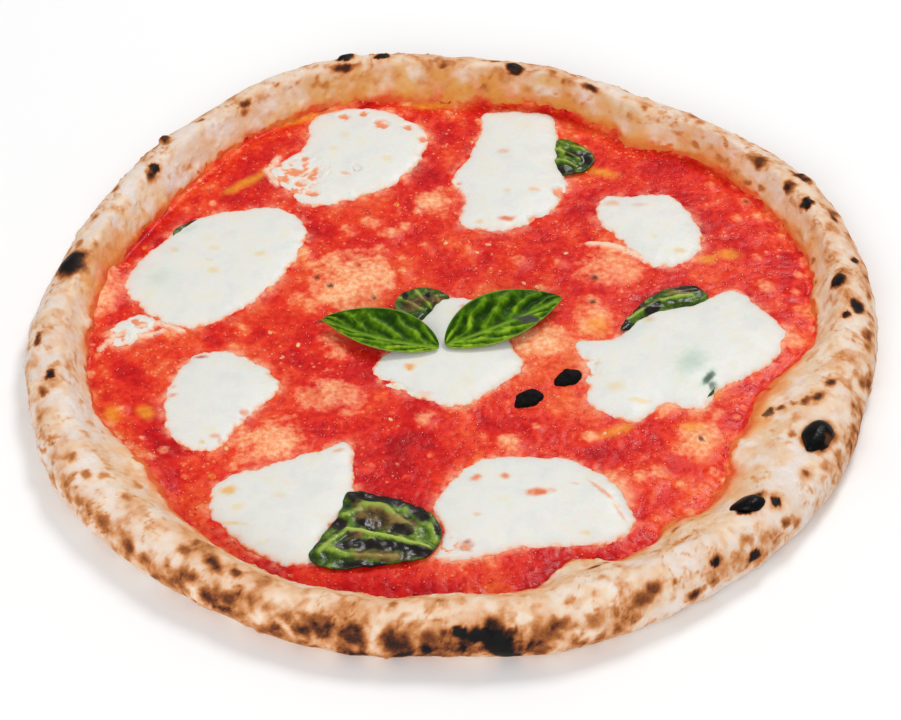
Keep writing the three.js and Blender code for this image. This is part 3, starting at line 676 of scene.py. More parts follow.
# Carbon with a burnt-on gloss: nearly black, a little brown where the shell is thickest.
char_material, tree, place, mask = start_material("charred_dough_shell", "torn", "dull")
cloud = add(tree, "TexNoise", {"Vector": place, "Scale": 420, "Detail": 4, "Roughness": 0.6})
colour = add(
    tree, "ValToRGB", [cloud],
    stops=[(0.3, "#030304"), (0.6, "#060506"), (0.72, "#150C09"), (0.85, "#38200F")],
)
colour = add(tree, "Mix", {0: mask["torn"], 6: colour, 7: "#5E3418"}, data_type="RGBA")
gloss = add(tree, "MapRange", [cloud, 0.35, 0.65, 0.22, 0.42])
grit = add(tree, "TexNoise", {"Vector": place, "Scale": 1500, "Detail": 2})
bumps = add(tree, "Bump", {"Height": grit, "Distance": 0.0003, "Strength": 0.25})
gloss = add(tree, "Math", [mask["dull"], 0.4, gloss], operation="MULTIPLY_ADD")
finish_material(tree, {"Base Color": colour, "Roughness": gloss, "Normal": bumps, "Specular IOR Level": 0.12})
blisters_mesh = make_mesh(
    "burnt_blisters", points, faces, char_material, {"dull": on_floor, "torn": 0.8 * torn}
)
place_piece("burnt_blisters", blisters_mesh, "crust")

# ------------------------------------------------------------------ tomato sauce
# Crushed peeled tomatoes, spread by ladle: coarse wet pulp, deep red where it is thick, orange where oil
# has run into it, and a salmon film where a bubble of dough has pushed up through it.

SAUCE_SPACING, SAUCE_RADIUS = 1, 137  # between its rings, and about how far they reach
# How bare each bubble of the dough is that pushes up through it.
BARENESS = [1.12, 0.86, 0.95, 1, 0.95, 0.9, 0.9, 0.9, 0.9, 0.3, 0.85]
# Small knobs of dough under a thin film of sauce: x, y, half size.
KNOBS = [
    (-41.6, 61.3, 4), (-32.3, 64.8, 4.5), (-24.3, 58.3, 5), (-18.5, 63, 3.2), (-10.9, 50.8, 4),
    (-27.3, 49, 4.5), (-13.4, 71.9, 2.6), (-19.4, 37, 3.4), (-70.1, 26.2, 2.8), (-59.9, 21.1, 6),
    (-54.4, 18.3, 5), (25.6, 42.7, 5.5), (41.2, 42.7, 4), (-47, -2.1, 6), (-43.1, -7.5, 5), (-38, -29, 6),
    (-11.1, -43.6, 5.5), (33.9, 27.3, 3.6), (54.4, 20, 6), (79.2, -38.4, 5), (87.4, -51.9, 9),
    (97.6, -41.5, 4.5), (50.6, -52.9, 4), (129.4, -2.1, 6), (121, 28.4, 5), (120.7, 69.5, 4),
    (116.6, 77.9, 5), (121.4, -29, 5.5), (20.5, -55, 6), (103.5, -65.1, 4), (95.5, -70.2, 3),
    (107, -72.7, 4), (75.5, -70.2, 5), (68.1, -72.7, 5), (-107, 3, 4), (-58, 48, 5), (-84, -14, 3),
    (118, 45, 3), (-68, 63, 3), (31, -48, 3), (-20, 92, 3), (6, 50, 2.6), (-126, -52, 6), (-120, -60, 5),
    (-114, -66, 4.5), (-131, 36, 4), (-135, 20, 5),
]
# Wet crimson places, and pools of orange-yellow oil: x, y, half length, half width, turn.
DEEP = [
    (-102, -76, 10, 6, 130), (-107, -60, 9, 5, 120), (17, 38, 16, 8, 0), (-90, 48, 6, 4, 20),
    (-52, 60, 10, 6, 30), (59, 78, 14, 8, 0), (97, 60, 12, 8, 0), (76, 20, 10, 7, 30), (-13, 96, 8, 12, 20),
    (18, -45, 12, 6, 0), (25, -70, 9, 5, 0), (-89, -107, 12, 5, -30), (-1, -128, 22, 6, 0),
    (38, -121, 18, 6, 15), (68, -85, 8, 12, -30), (-26, -70, 14, 8, 0), (-45, -50, 8, 6, 0),
    (118, 20, 7, 10, 0), (131, 43, 4, 10, 0), (78, -82, 10, 6, 30), (84, -66, 8, 5, 20),
    (-2, 118, 7, 12, 0), (-57, -13, 8, 6, 0), (-84, 3, 10, 6, 0), (100, -60, 6, 12, 0),
    (-12, -58, 14, 7, 0), (-95, 96, 8, 10, 40), (112, -12, 10, 5, 30), (62, -60, 12, 5, 0),
    (66, -44, 10, 4, 0),
]
OIL_POOLS = [
    (-81, 90.5, 11, 2.6, 42), (-87, 85, 4, 2.2, 30), (-7, 139, 12, 3.5, 0), (56, 7, 5, 4.5, 20),
    (-126, -41, 4, 5, 10), (-113, -40, 4, 4, 0), (108, 46.7, 6, 3, 0), (98.7, 43.8, 5, 2.6, 0),
    (61, -49, 8, 2.4, 30), (96, -29, 6, 4, 0), (88, -48, 4, 2.5, 20), (60, 95, 8, 3, -20),
    (-60, 130, 14, 3, 20), (108, 100, 16, 3, -45),
]
# How orange the sauce turned where it thins out against the dough, for each step round the rim.
ORANGE_EDGE = [
    0.8, 0.9, 0.9, 0.5, 0.6, 0.8, 0.9, 0.9, 0.6, 0.6, 0.4, 0.4,
    0.8, 0.7, 0.8, 0.4, 0.15, 0.05, 0.05, 0.05, 0.3, 0.9, 0.8, 0.5,
]
ORANGE_REACH = 7
# Folds and threads of curd that lie in the sauce.
PALE_ARCS = [
    [(53.9, 52.6), (60, 51.8), (66, 49.5), (73.1, 44.5)],
    [(-133, -6), (-127, 1), (-119, 6), (-112, 8), (-103, 3)], [(-124, 2), (-117, 1), (-110, 3)],
    [(-70, 104), (-74, 96), (-70, 88)],
]
# Scorched holes in the bubbles: x, y, half size.
HOLES = [
    (-50, 9, 1), (-47, 28, 1), (-30, 22, 1), (-36, 40, 1), (54, 18.5, 1), (116.6, 77.9, 1), (91, -55, 1),
    (55, 33, 1), (-52, 33, 1),
]

# Outlines of the pieces of mozzarella that lie on it, in plan. Their milk paled the sauce round them.
MOZZARELLA = {
    "far_left": [
        (-57, 128), (-44, 135), (-29, 134), (-17, 127), (-10, 118), (-12, 105), (-23, 88),
        (-40, 79), (-56, 75), (-66, 84), (-73, 96), (-64, 106), (-59, 112),
    ],
    "far_middle": [
        (13, 131), (27, 133), (40, 130), (43, 118), (43, 100), (46, 86), (39, 72), (31, 64),
        (16, 60), (3, 64), (5, 80), (0, 91), (8, 107), (11, 120),
    ],
    "far_right": [(60, 79), (72, 81), (86, 81), (93, 72), (98, 56), (94, 44), (79, 39), (68, 52), (57, 69)],
    "left": [
        (-100, 68), (-84, 72), (-69, 74), (-59, 66), (-57, 56), (-65, 35), (-83, 13), (-100, 5),
        (-112, 10), (-126, 28), (-122, 41), (-111, 57),
    ],
    "left_scrap": [(-131, -3), (-129, 6), (-121, 12), (-112, 9), (-116, 2), (-124, -5)],
    "left_small": [
        (-97, -10), (-84, -8), (-71, -16), (-64, -27), (-72, -39), (-80, -49), (-86, -60),
        (-99, -57), (-106, -45), (-106, -28),
    ],
    "near_left": [
        (-50, -60), (-38, -56), (-36, -72), (-36, -86), (-46, -102), (-49, -115), (-62, -115),
        (-78, -103), (-88, -88), (-84, -75), (-66, -67),
    ],
    "near_right": [
        (-6, -88), (1, -73), (13, -64), (30, -63), (46, -66), (60, -79), (65, -96), (58, -105),
        (42, -107), (24, -108), (8, -113), (-6, -113), (-3, -102),
    ],
    "right": [
        (47, -3), (62, 0), (74, 13), (92, 18), (109, 26), (118, 16), (127, 3), (119, -15),
        (101, -27), (93, -38), (78, -37), (67, -45), (52, -36), (50, -16),
    ],
    "middle": [
        (-4, 21), (9, 21), (19, 9), (23, -5), (27, -16), (15, -29), (3, -37), (-11, -33),
        (-25, -26), (-30, -17), (-20, -4), (-11, 11),
    ],
}
CHEESE_ROUND = 264


def smooth_outline(corners, count):
    """Points at even distances round the smooth closed curve through these corners, anticlockwise."""
    corners = np.array(corners, float)
    fine_points = []
    for k in range(len(corners)):
        p = [corners[(k + j) % len(corners)] for j in (-1, 0, 1, 2)]
        knots = [0.0]
        for a, b in zip(p, p[1:]):
            knots.append(knots[-1] + math.sqrt(math.dist(a, b)))
        for t in np.linspace(knots[1], knots[2], 24, endpoint=False):
            row = p
            for level in (1, 2, 3):
                row = [
                    row[i] + (row[i + 1] - row[i]) * (t - knots[j]) / (knots[j + span] - knots[j])
                    for i, (j, span) in enumerate(
                        {1: [(0, 1), (1, 1), (2, 1)], 2: [(0, 2), (1, 2)], 3: [(1, 1)]}[level]
                    )
                ]
            fine_points.append(row[0])
    outline = np.array(fine_points)
    closed = np.vstack([outline, outline[:1]])
    length = np.concatenate([[0], np.cumsum(np.hypot(*np.diff(closed, axis=0).T))])
    at = np.linspace(0, length[-1], count, endpoint=False)
    outline = np.stack([np.interp(at, length, closed[:, axis]) for axis in (0, 1)], -1)
    x, y = outline.T
    if np.sum(x * np.roll(y, -1) - y * np.roll(x, -1)) < 0:
        outline = outline[::-1]
    return outline


def star_share(outline, x, y):
    """How far points lie on the way from an outline's middle, at 0, to the outline, at 1, and the
    outline's distance from the middle there."""
    middle = outline.mean(0)
    turn, far = direction(*(outline - middle).T)
    order = np.argsort(turn)
    at, radius = direction(x - middle[0], y - middle[1])
    edge = np.interp(at, turn[order], far[order], period=360)
    return radius / edge, edge


def line_distance(ends, x, y):
    """How far points lie from a straight line, given by the x and y of both its ends."""
    ax, ay, bx, by = ends
    t = np.clip(((x - ax) * (bx - ax) + (y - ay) * (by - ay)) / ((bx - ax) ** 2 + (by - ay) ** 2), 0, 1)
    return np.hypot(x - ax - t * (bx - ax), y - ay - t * (by - ay))


cheese_outlines = {name: smooth_outline(corners, CHEESE_ROUND) for name, corners in MOZZARELLA.items()}

SAUCE_RINGS = ((0.02, 48), (0.11, 120), (0.26, 240), (0.51, 480), (1, 960))  # share reached, points
LUMP_SEED, LUMP_COUNT, LUMP_BAND = 71, 120, 15
LAPS = np.linspace(0.2, 1.25, 6)  # rings on the wall: 1 where the sauce ends
LAP_LENGTH = 3.3
CORNER_RINGS, CORNER_STEPS = 14, 13
UNDER_ROUND, UNDER_SHARES, UNDER_DEPTH = 240, (0.99, 0.9, 0.75, 0.55, 0.35, 0.15), 0.5
ARC_HALF_WIDTH, ARC_BLUR = 0.7, 1.3
MILK_REACH = 1.6
# Each kind of noise: its strength, size, seed and octaves.
BORDER_RAGS, MOST_SHORT = [(2.6, 7, 38, 2), (1.1, 2.4, 39)], 4.5
PULP_LUMPS = [(0.65, 3, 35, 2), (0.45, 1.5, 36)]
PULP_HEIGHT, WAVE_HEIGHT, CURD_HEIGHT, DEEP_HOLLOW, SCORCH_HOLLOW = 0.15, 0.16, 0.7, 0.3, 0.4
KNOB_STEEPNESS, MOST_KNOB_HEIGHT, KNOB_SPREAD = 0.3, 0.8, 1.3
WALL_PULP_HEIGHT = 0.2

# Small lumps of dough and curd that the sauce left along the wall, most of them where it is thin.
draw = random_source(LUMP_SEED)
wall_knobs = []
for k in range(LUMP_COUNT):
    at, inwards, size = 360 * (k + draw()) / LUMP_COUNT, LUMP_BAND * draw() ** 1.5, 1.2 + 2.6 * draw() ** 2
    if draw() < round_value(ORANGE_EDGE, at):
        wall_knobs.append((*polar(at, float(floor_radius(at)) - inwards), size))

rings, toward, done = [], [], 0
for reach, count in SAUCE_RINGS:
    at = np.arange(count) * 360 / count
    foot = floor_radius(at)
    steps = max(2, round((reach - done) * SAUCE_RADIUS / SAUCE_SPACING))
    for share in np.linspace(done, reach, steps + 1)[1:]:
        rings.append(on_surface(dough_top, *polar(at, share * foot)))
        toward.append(LAP_LENGTH + foot * (1 - share))
    done = reach
climb = sauce_climb(at)
for lap in LAPS:
    rings.append(rim_points(at, climb * lap ** 2))
    toward.append(np.full(len(at), LAP_LENGTH * (1 - lap)))
rings, toward = rings[::-1], np.concatenate(toward[::-1])
middle = on_surface(dough_top, 0, 0)
base, faces = skin([*rings, middle])
normals = mesh_normals(base, faces)[:-1]
base = base[:-1]
plan = base * [1, 1, 0]
x, y = plan[:, 0], plan[:, 1]

uneven = grain(plan, 7, 33, 3)
fray = grain(plan, 1.8, 34, 2)
all_knobs = KNOBS + wall_knobs
bare = cover(BUBBLES, x, y, 0.3 * uneven + 0.06 * fray, 1.35, 0.2, BARENESS)
bare = np.maximum(bare, cover(all_knobs, x, y, 0.25 * uneven + 0.08 * fray, 1.4, 0.1, 0.75))
bare = np.maximum(bare, 0.4 * soft_step(uneven, 0.5, 1.2))
deep = cover(DEEP, x, y, 0.45 * uneven, 1.6, 0.1)
deep = np.maximum(deep, 0.35 * soft_step(toward, 42, 10))  # it is thicker towards the rim
oil = cover(OIL_POOLS, x, y, 0.3 * uneven + 0.1 * fray, 1.4, 0.2)
arcs = [line_distance((*a, *b), x, y) for line in PALE_ARCS for a, b in zip(line, line[1:])]
curd = soft_step(np.min(arcs, axis=0) + 0.5 * fray, ARC_HALF_WIDTH + ARC_BLUR, ARC_HALF_WIDTH)
scorch = cover(HOLES, x, y, 0.5 * fray, 1.6, 0.5)
milk, uncovered = np.zeros(len(plan)), toward > 2.5
for outline in cheese_outlines.values():
    share, far = star_share(outline, x, y)
    uncovered = uncovered & (share > 1)
    milk = np.maximum(milk, np.exp(-np.maximum(0, (share - 1) * far - 0.4) / MILK_REACH))
milk = milk * soft_step(uneven, -0.5, 0.5)

# Its border is ragged: in places it falls a few millimetres short.
lip = toward - np.clip(layered(plan, BORDER_RAGS), 0, MOST_SHORT)
edge = np.exp(-np.maximum(lip, 0) / ORANGE_REACH) * round_value(ORANGE_EDGE, direction(x, y)[0])
edge = edge * soft_step(uneven, -0.9, 0.5)
pulp = layered(plan, PULP_LUMPS)
knobs = sum(
    min(MOST_KNOB_HEIGHT, KNOB_STEEPNESS * size) * oval_share((kx, ky, KNOB_SPREAD * size), x, y)
    for kx, ky, size in all_knobs
)
relief = (1 - 0.6 * bare) * (1 - 0.6 * oil) * PULP_HEIGHT * pulp + WAVE_HEIGHT * grain(plan, 10, 37)
relief = relief + knobs + CURD_HEIGHT * curd - DEEP_HOLLOW * deep - SCORCH_HOLLOW * scorch
depth = sauce_top(x, y) - dough_top(x, y)
film = soft_step(lip, -0.5, 1.7 * LAP_LENGTH)
height = (depth + relief * soft_step(toward, 0, 5)) * film - 1.2 * soft_step(lip, 0.5, -1.1)
plan = base + normals * height[:, None]
# It pools in the corner: the film on the wall and the sauce next to it run together in a soft curve.
corner = plan[:CORNER_RINGS * len(rings[0])].reshape(CORNER_RINGS, -1, 3)
for step in range(CORNER_STEPS):
    corner[1:-1] = (corner[:-2] + 2 * corner[1:-1] + corner[2:]) / 4
wall_pulp = WALL_PULP_HEIGHT * pulp * soft_step(lip, 0.2, 1.5) * soft_step(toward, 12, 6)
plan = plan + normals * wall_pulp[:, None]

at = np.arange(UNDER_ROUND) * 360 / UNDER_ROUND
under = [on_surface(dough_top, *polar(at, share * floor_radius(at)), -UNDER_DEPTH) for share in UNDER_SHARES]
under.append(on_surface(dough_top, 0, 0, -UNDER_DEPTH))
top_rings = np.split(plan, np.cumsum([len(ring) for ring in rings])[:-1])
top_rings.append(plan[-SAUCE_RINGS[0][1]:].mean(0)[None])
points, faces = skin(under[::-1] + top_rings)
spare = sum(len(ring) for ring in under)


def padded(values):
    """Values of the top's points, with 0 for the underside's and for the middle."""
    return np.concatenate([np.zeros(spare), values, values[-1:]])


sauce_masks = {
    "bare": bare, "deep": deep, "oil": oil, "curd": curd, "scorch": scorch, "edge": edge, "milk": milk,
    "pulp": pulp * (1 - bare),
}
TONE_MIDDLE = 0.46

# Wet tomato pulp: saturated red with glossy grains, lighter on top of them as painted light and darker
# between them as painted shade.
sauce_material, tree, place, mask = start_material("crushed_tomato_sauce", *sauce_masks)
patches = add(tree, "TexNoise", {"Vector": place, "Scale": 30, "Detail": 2, "Roughness": 0.5})
broad = add(tree, "TexNoise", {"Vector": place, "Scale": 90, "Detail": 3, "Roughness": 0.5})
grains = add(tree, "TexNoise", {"Vector": place, "Scale": 480, "Detail": 3, "Roughness": 0.55})
tone = TONE_MIDDLE
# The grains noise also makes the sauce's fine bumps, so its part in the tone is painted light, lighter on top
# of each bump; the pulp mask, the height of the lumps, lightens their tops a little too.
for part, weight, middle in (
    (patches, 0.75, 0.5), (broad, 0.6, 0.5), (grains, 0.22, 0.5), (mask["pulp"], 0.03, 0),
    (mask["deep"], -0.16, 0), (mask["bare"], 0.22, 0), (mask["milk"], 0.13, 0), (mask["edge"], 0.36, 0),
):
    part = add(tree, "Math", [part, middle], operation="SUBTRACT")
    tone = add(tree, "Math", [part, weight, tone], operation="MULTIPLY_ADD")
colour = add(
    tree, "ValToRGB", [tone],
    stops=[
        (0.14, "#B0090F"), (0.28, "#C60E13"), (0.39, "#D81E15"), (0.48, "#E4321A"), (0.57, "#EC4A24"),
        (0.67, "#F06634"), (0.79, "#F3884C"), (0.92, "#F6AA70"),
    ],
)
speckled = mask["bare"]
for noise_part, weight in ((grains, 0.5), (broad, 0.9)):
    centred = add(tree, "Math", [noise_part, weight, -weight / 2], operation="MULTIPLY_ADD")
    speckled = add(tree, "Math", [speckled, centred], operation="ADD")
filmed = add(tree, "MapRange", [speckled, 0.35, 1.1, 0, 0.9])
# On the film too, the grains make it lighter on top of their bumps: painted light.
film_colour = add(tree, "ValToRGB", [grains], stops=[(0.3, "#F08C58"), (0.5, "#F8B07E"), (0.66, "#FCCCA2")])
milky = add(tree, "Math", [mask["milk"], grains], operation="MULTIPLY", use_clamp=True)
oily = add(tree, "Math", [mask["oil"], 0.75], operation="MULTIPLY")
# Pale specks, partly pulp and fat and partly painted glints, and the pores of the dough where it shows, in
# clusters.
specks = add(tree, "TexVoronoi", {"Vector": place, "Scale": 330})
speck = add(tree, "MapRange", [specks, 0.1, 0.26, 0.75, 0])
speck_here = add(tree, "MapRange", [broad, 0.48, 0.6, 0, 1])
speck = add(tree, "Math", [speck, speck_here], operation="MULTIPLY")
pores = add(tree, "TexVoronoi", {"Vector": place, "Scale": 500})
pore = add(tree, "MapRange", [pores, 0.1, 0.3, 1, 0])
pore_here = add(tree, "MapRange", [broad, 0.48, 0.58, 0.6, 0])
pore_film = add(tree, "MapRange", [filmed, 0.45, 0.9, 0, 1])
for share in (pore_here, pore_film):
    pore = add(tree, "Math", [pore, share], operation="MULTIPLY")
for share, coat in (
    (filmed, film_colour), (milky, "#F8B89A"), (oily, "#F29A2E"), (mask["curd"], "#F6CDB0"),
    (speck, "#F59A6E"), (pore, "#B0582C"), (mask["scorch"], "#6B3A1D"),
):
    colour = add(tree, "Mix", {0: share, 6: colour, 7: coat}, data_type="RGBA")
# Painted shade: darker between the grains, where their bumps are low, except on bare dough.
gap_shade = add(tree, "MapRange", [grains, 0.38, 0.58, 0.86, 1.01])
gap_shade_here = add(tree, "Math", [1, mask["bare"]], operation="SUBTRACT", use_clamp=True)
colour = add(tree, "Mix", {0: gap_shade_here, 6: colour, 7: gap_shade}, data_type="RGBA", blend_type="MULTIPLY")
wetness = add(tree, "MapRange", [grains, 0.35, 0.65, 0.2, 0.4])
wetness = add(tree, "Math", [mask["bare"], 0.22, wetness], operation="MULTIPLY_ADD")
pulpy = add(tree, "Bump", {"Height": grains, "Distance": 0.0006, "Strength": 0.4})
finish_material(tree, {
    "Base Color": colour, "Roughness": wetness, "Normal": pulpy, "Specular IOR Level": 0.15,
})

sauce_mesh = make_mesh(
    "tomato_sauce_pulp", points, faces, sauce_material,
    {mask: padded(values) for mask, values in sauce_masks.items()},
)
place_piece("tomato_sauce_pulp", sauce_mesh, "tomato_sauce", "tomato_sauce")

# ------------------------------------------------------------------ seeds, pulp and oil drops
# What lies loose on the sauce: a few flat pale tomato seeds, many small grains of wet pulp, and round drops
# of olive oil. Each kind is one small shape, which a tree of nodes sets on its places, turned and sized at
# random.

BITS_SEED = 83
SEEDS = [
    (-69.1, 2.8), (-58.2, -4.3), (-64, -10.8), (9.7, 47.9), (44.4, 47.3), (27.7, 30.2), (32.7, 26.8),
    (-2.4, 53.1), (14.1, 52.5), (-18.6, 36.4), (56.2, -50.8),
]
LOOSE_SEEDS, PULP_GRAINS, OIL_DROPS = 4, 2100, 16
SCATTER_RADIUS = 145
BIT_LIFT = 0.02
SEED_HALF_SIZES = (1.4, 0.95, 0.35)
GRAIN_HALF_SIZES = (0.95, 0.7, 0.45)
DROP_HALF_SIZES = (1.9, 1.6, 0.24)

bits = bpy.data.node_groups.new("loose_bits", "GeometryNodeTree")
bits.is_modifier = True
sockets = {
    name: bits.interface.new_socket(name=name, in_out=way, socket_type=kind).identifier
    for name, way, kind in (
        ("Places", "INPUT", "NodeSocketGeometry"), ("Half Sizes", "INPUT", "NodeSocketVector"),
        ("Smallest", "INPUT", "NodeSocketFloat"), ("Round", "INPUT", "NodeSocketInt"),
        ("Seed", "INPUT", "NodeSocketInt"), ("Finish", "INPUT", "NodeSocketMaterial"),
        ("Bits", "OUTPUT", "NodeSocketGeometry"),
    )
}
given = bits.nodes.new("NodeGroupInput").outputs
ball = add(bits, "GeometryNodeMeshUVSphere", {"Segments": given["Round"], "Rings": 5, "Radius": 1}, "Mesh")
bit = add(bits, "GeometryNodeTransform", {"Geometry": ball, "Scale": given["Half Sizes"]})
spin = add(bits, "FunctionNodeRandomValue", {3: math.tau, 8: given["Seed"]}, 1, data_type="FLOAT")
turned = add(bits, "CombineXYZ", {"Z": spin})
next_seed = add(bits, "Math", {0: given["Seed"], 1: 1}, operation="ADD")
sized = add(
    bits, "FunctionNodeRandomValue", {2: given["Smallest"], 3: 1.0, 8: next_seed}, 1, data_type="FLOAT"
)
placed = add(
    bits, "GeometryNodeInstanceOnPoints",
    {"Points": given["Places"], "Instance": bit, "Rotation": turned, "Scale": sized},
)
made = add(bits, "GeometryNodeRealizeInstances", {"Geometry": placed})
made = add(bits, "GeometryNodeSetShadeSmooth", {"Geometry": made})
made = add(bits, "GeometryNodeSetMaterial", {"Geometry": made, "Material": given["Finish"]})
add(bits, "NodeGroupOutput", {"Bits": made})


def scatter(name, places, masks, half_sizes, smallest, segments, finish):
    mesh = bpy.data.meshes.new(name)
    mesh.from_pydata((np.array(places) * MM).tolist(), [], [])
    give_masks(mesh, masks)
    loose = link_object(name, mesh)
    modifier = loose.modifiers.new("bits", "NODES")
    modifier.node_group = bits
    modifier[sockets["Half Sizes"]] = [half * MM for half in half_sizes]
    modifier[sockets["Smallest"]] = smallest
    modifier[sockets["Round"]] = segments
    modifier[sockets["Seed"]] = BITS_SEED
    modifier[sockets["Finish"]] = finish
    graph = bpy.context.evaluated_depsgraph_get()
    mesh = bpy.data.meshes.new_from_object(
        loose.evaluated_get(graph), preserve_all_data_layers=True, depsgraph=graph
    )
    bpy.data.objects.remove(loose)
    return place_piece(name, mesh, "tomato_sauce")


sauce_points = kdtree.KDTree(len(plan))
for k, (px, py, _) in enumerate(plan.tolist()):
    sauce_points.insert((px, py, 0), k)
sauce_points.balance()
draw = random_source(BITS_SEED)


def open_places(count, welcome):
    """Random places on the open sauce, as its nearest point's number and x and y, more of them where
    welcome is high."""
    found = []
    while len(found) < count:
        px, py = polar(360 * draw(), SCATTER_RADIUS * math.sqrt(draw()))
        k = sauce_points.find((px, py, 0))[1]
        if uncovered[k] and draw() < welcome[k]:
            found.append((k, px, py))
    return found


grains_at = open_places(PULP_GRAINS, (1 - bare) * (1 - oil))
grain_of = [k for k, px, py in grains_at]
sauce_masks["pulp"] = pulp + 3 * (fray > 0.25)  # some grains are paler than the rest
# The same pulp, standing proud and wetter, so that each grain catches a glint.
wet_material = sauce_material.copy()
wet_material.name = "wet_tomato_grains"
for node in wet_material.node_tree.nodes:
    if node.type == "BSDF_PRINCIPLED":
        wet_material.node_tree.links.remove(node.inputs["Roughness"].links[0])
        node.inputs["Roughness"].default_value = 0.2
        node.inputs["Specular IOR Level"].default_value = 0.55
scatter(
    "tomato_pulp_grains", [(px, py, plan[k, 2]) for k, px, py in grains_at],
    {mask: values[grain_of] for mask, values in sauce_masks.items()}, GRAIN_HALF_SIZES, 0.5, 7, wet_material,
)

# A slippery coat over a straw-coloured seed: glossy and a little uneven in colour.
seed_material, tree, place, _ = start_material("tomato_seed_skin")
cloud = add(tree, "TexNoise", {"Vector": place, "Scale": 700, "Detail": 2})
colour = add(tree, "ValToRGB", [cloud], stops=[(0.35, "#EC8E58"), (0.52, "#F0AE78"), (0.68, "#F5CC9C")])
slippery = add(tree, "MapRange", [cloud, 0.35, 0.65, 0.18, 0.35])
finish_material(tree, {"Base Color": colour, "Roughness": slippery, "Specular IOR Level": 0.3})
seeds_at = [(sauce_points.find((px, py, 0))[1], px, py) for px, py in SEEDS]
seeds_at += open_places(LOOSE_SEEDS, 1 - bare)
scatter(
    "tomato_seeds", [(px, py, plan[k, 2] + BIT_LIFT) for k, px, py in seeds_at], {}, SEED_HALF_SIZES, 0.75,
    12, seed_material,
)

# Clear yellow-orange oil, tinted by the tomato under it, with a wet mirror-like skin.
oil_material, tree, place, _ = start_material("olive_oil")
cloud = add(tree, "TexNoise", {"Vector": place, "Scale": 240, "Detail": 1})
colour = add(tree, "ValToRGB", [cloud], stops=[(0.35, "#E2501C"), (0.55, "#E97026"), (0.7, "#F09638")])
finish_material(tree, {"Base Color": colour, "Roughness": 0.2, "Specular IOR Level": 0.3})
drops_at = open_places(OIL_DROPS, 0.25 + 0.75 * oil)
scatter(
    "oil_drops", [(px, py, plan[k, 2] + BIT_LIFT) for k, px, py in drops_at], {}, DROP_HALF_SIZES, 0.35,
    14, oil_material,
)

# ------------------------------------------------------------------ mozzarella
# Fresh cow's-milk mozzarella, torn by hand into flat pieces that melted and slumped: white and smooth, thick
# in the middle, with a ragged edge where it runs out over the sauce and lets it shine through.

CHEESE_FOOT = -0.3  # how deep the thin edge sinks into the sauce
CHEESE_LIP, LIP_WIDTH = 0.65, 0.9  # the quick rise at the edge, and the slow one to the middle
CHEESE_CROWN, CROWN_WIDTH = 1.95, 6
CHEESE_WAVE_HEIGHT, CHEESE_WAVE_SIZE = 0.3, 9
CHEESE_LUMP_HEIGHT = 0.1
CHEESE_RAGS = [(0.7, 5.5, 41, 3), (0.2, 2.2, 42, 2)]  # strength, size, seed, octaves
CHEESE_OUTWARDS = 0.3  # how far its ragged edge lies outside its outline
CHEESE_SHARES = np.concatenate([np.linspace(0.05, 0.79, 23), np.linspace(0.82, 1, 15)])
CHEESE_UNDER_SHARES, CHEESE_UNDER_DEPTH = (0.3, 0.6, 0.85, 0.985), 0.9
FRINGE_WIDTH = 1.5  # how far in sauce shines through its edge
# Where a slice melted to a thin lace over the sauce: x, y, half length, half width, turn.
CHEESE_LACE = [
    (-62, 91, 14, 11, 60), (-128, -1, 6, 5, 30), (-3, -107, 7, 5, 0), (50, -17, 5, 7, 0),
    (-38, 96, 2, 2, 0), (-22, -27, 8, 3, -32),
]
# Where sauce nearly shows through: x, y, half size.
CHEESE_HOLES = [
    (-69.8, 99.8, 2), (-62.8, 94.9, 3), (-66.6, 90.7, 2.2), (-60.5, 87.6, 2.6), (-55.9, 93.7, 2.2),
    (-55.6, 81.6, 2.4), (-64.3, 83, 1.8), (-59, 102.9, 1.6), (-43.6, 128.5, 2.4), (-28.8, 124, 3),
    (4.9, -107.9, 1.6), (-118, 6, 2), (-125, 1, 1.8), (-121, 8, 1.6), (32.6, 66.6, 2.6), (2.6, 88, 1.4),
    (42.5, 82.2, 2.6), (-12, 115, 2.2), (-24, -24, 1.5), (-18, -29, 1.7), (-36, 131, 1.8), (-18, 122, 2),
]
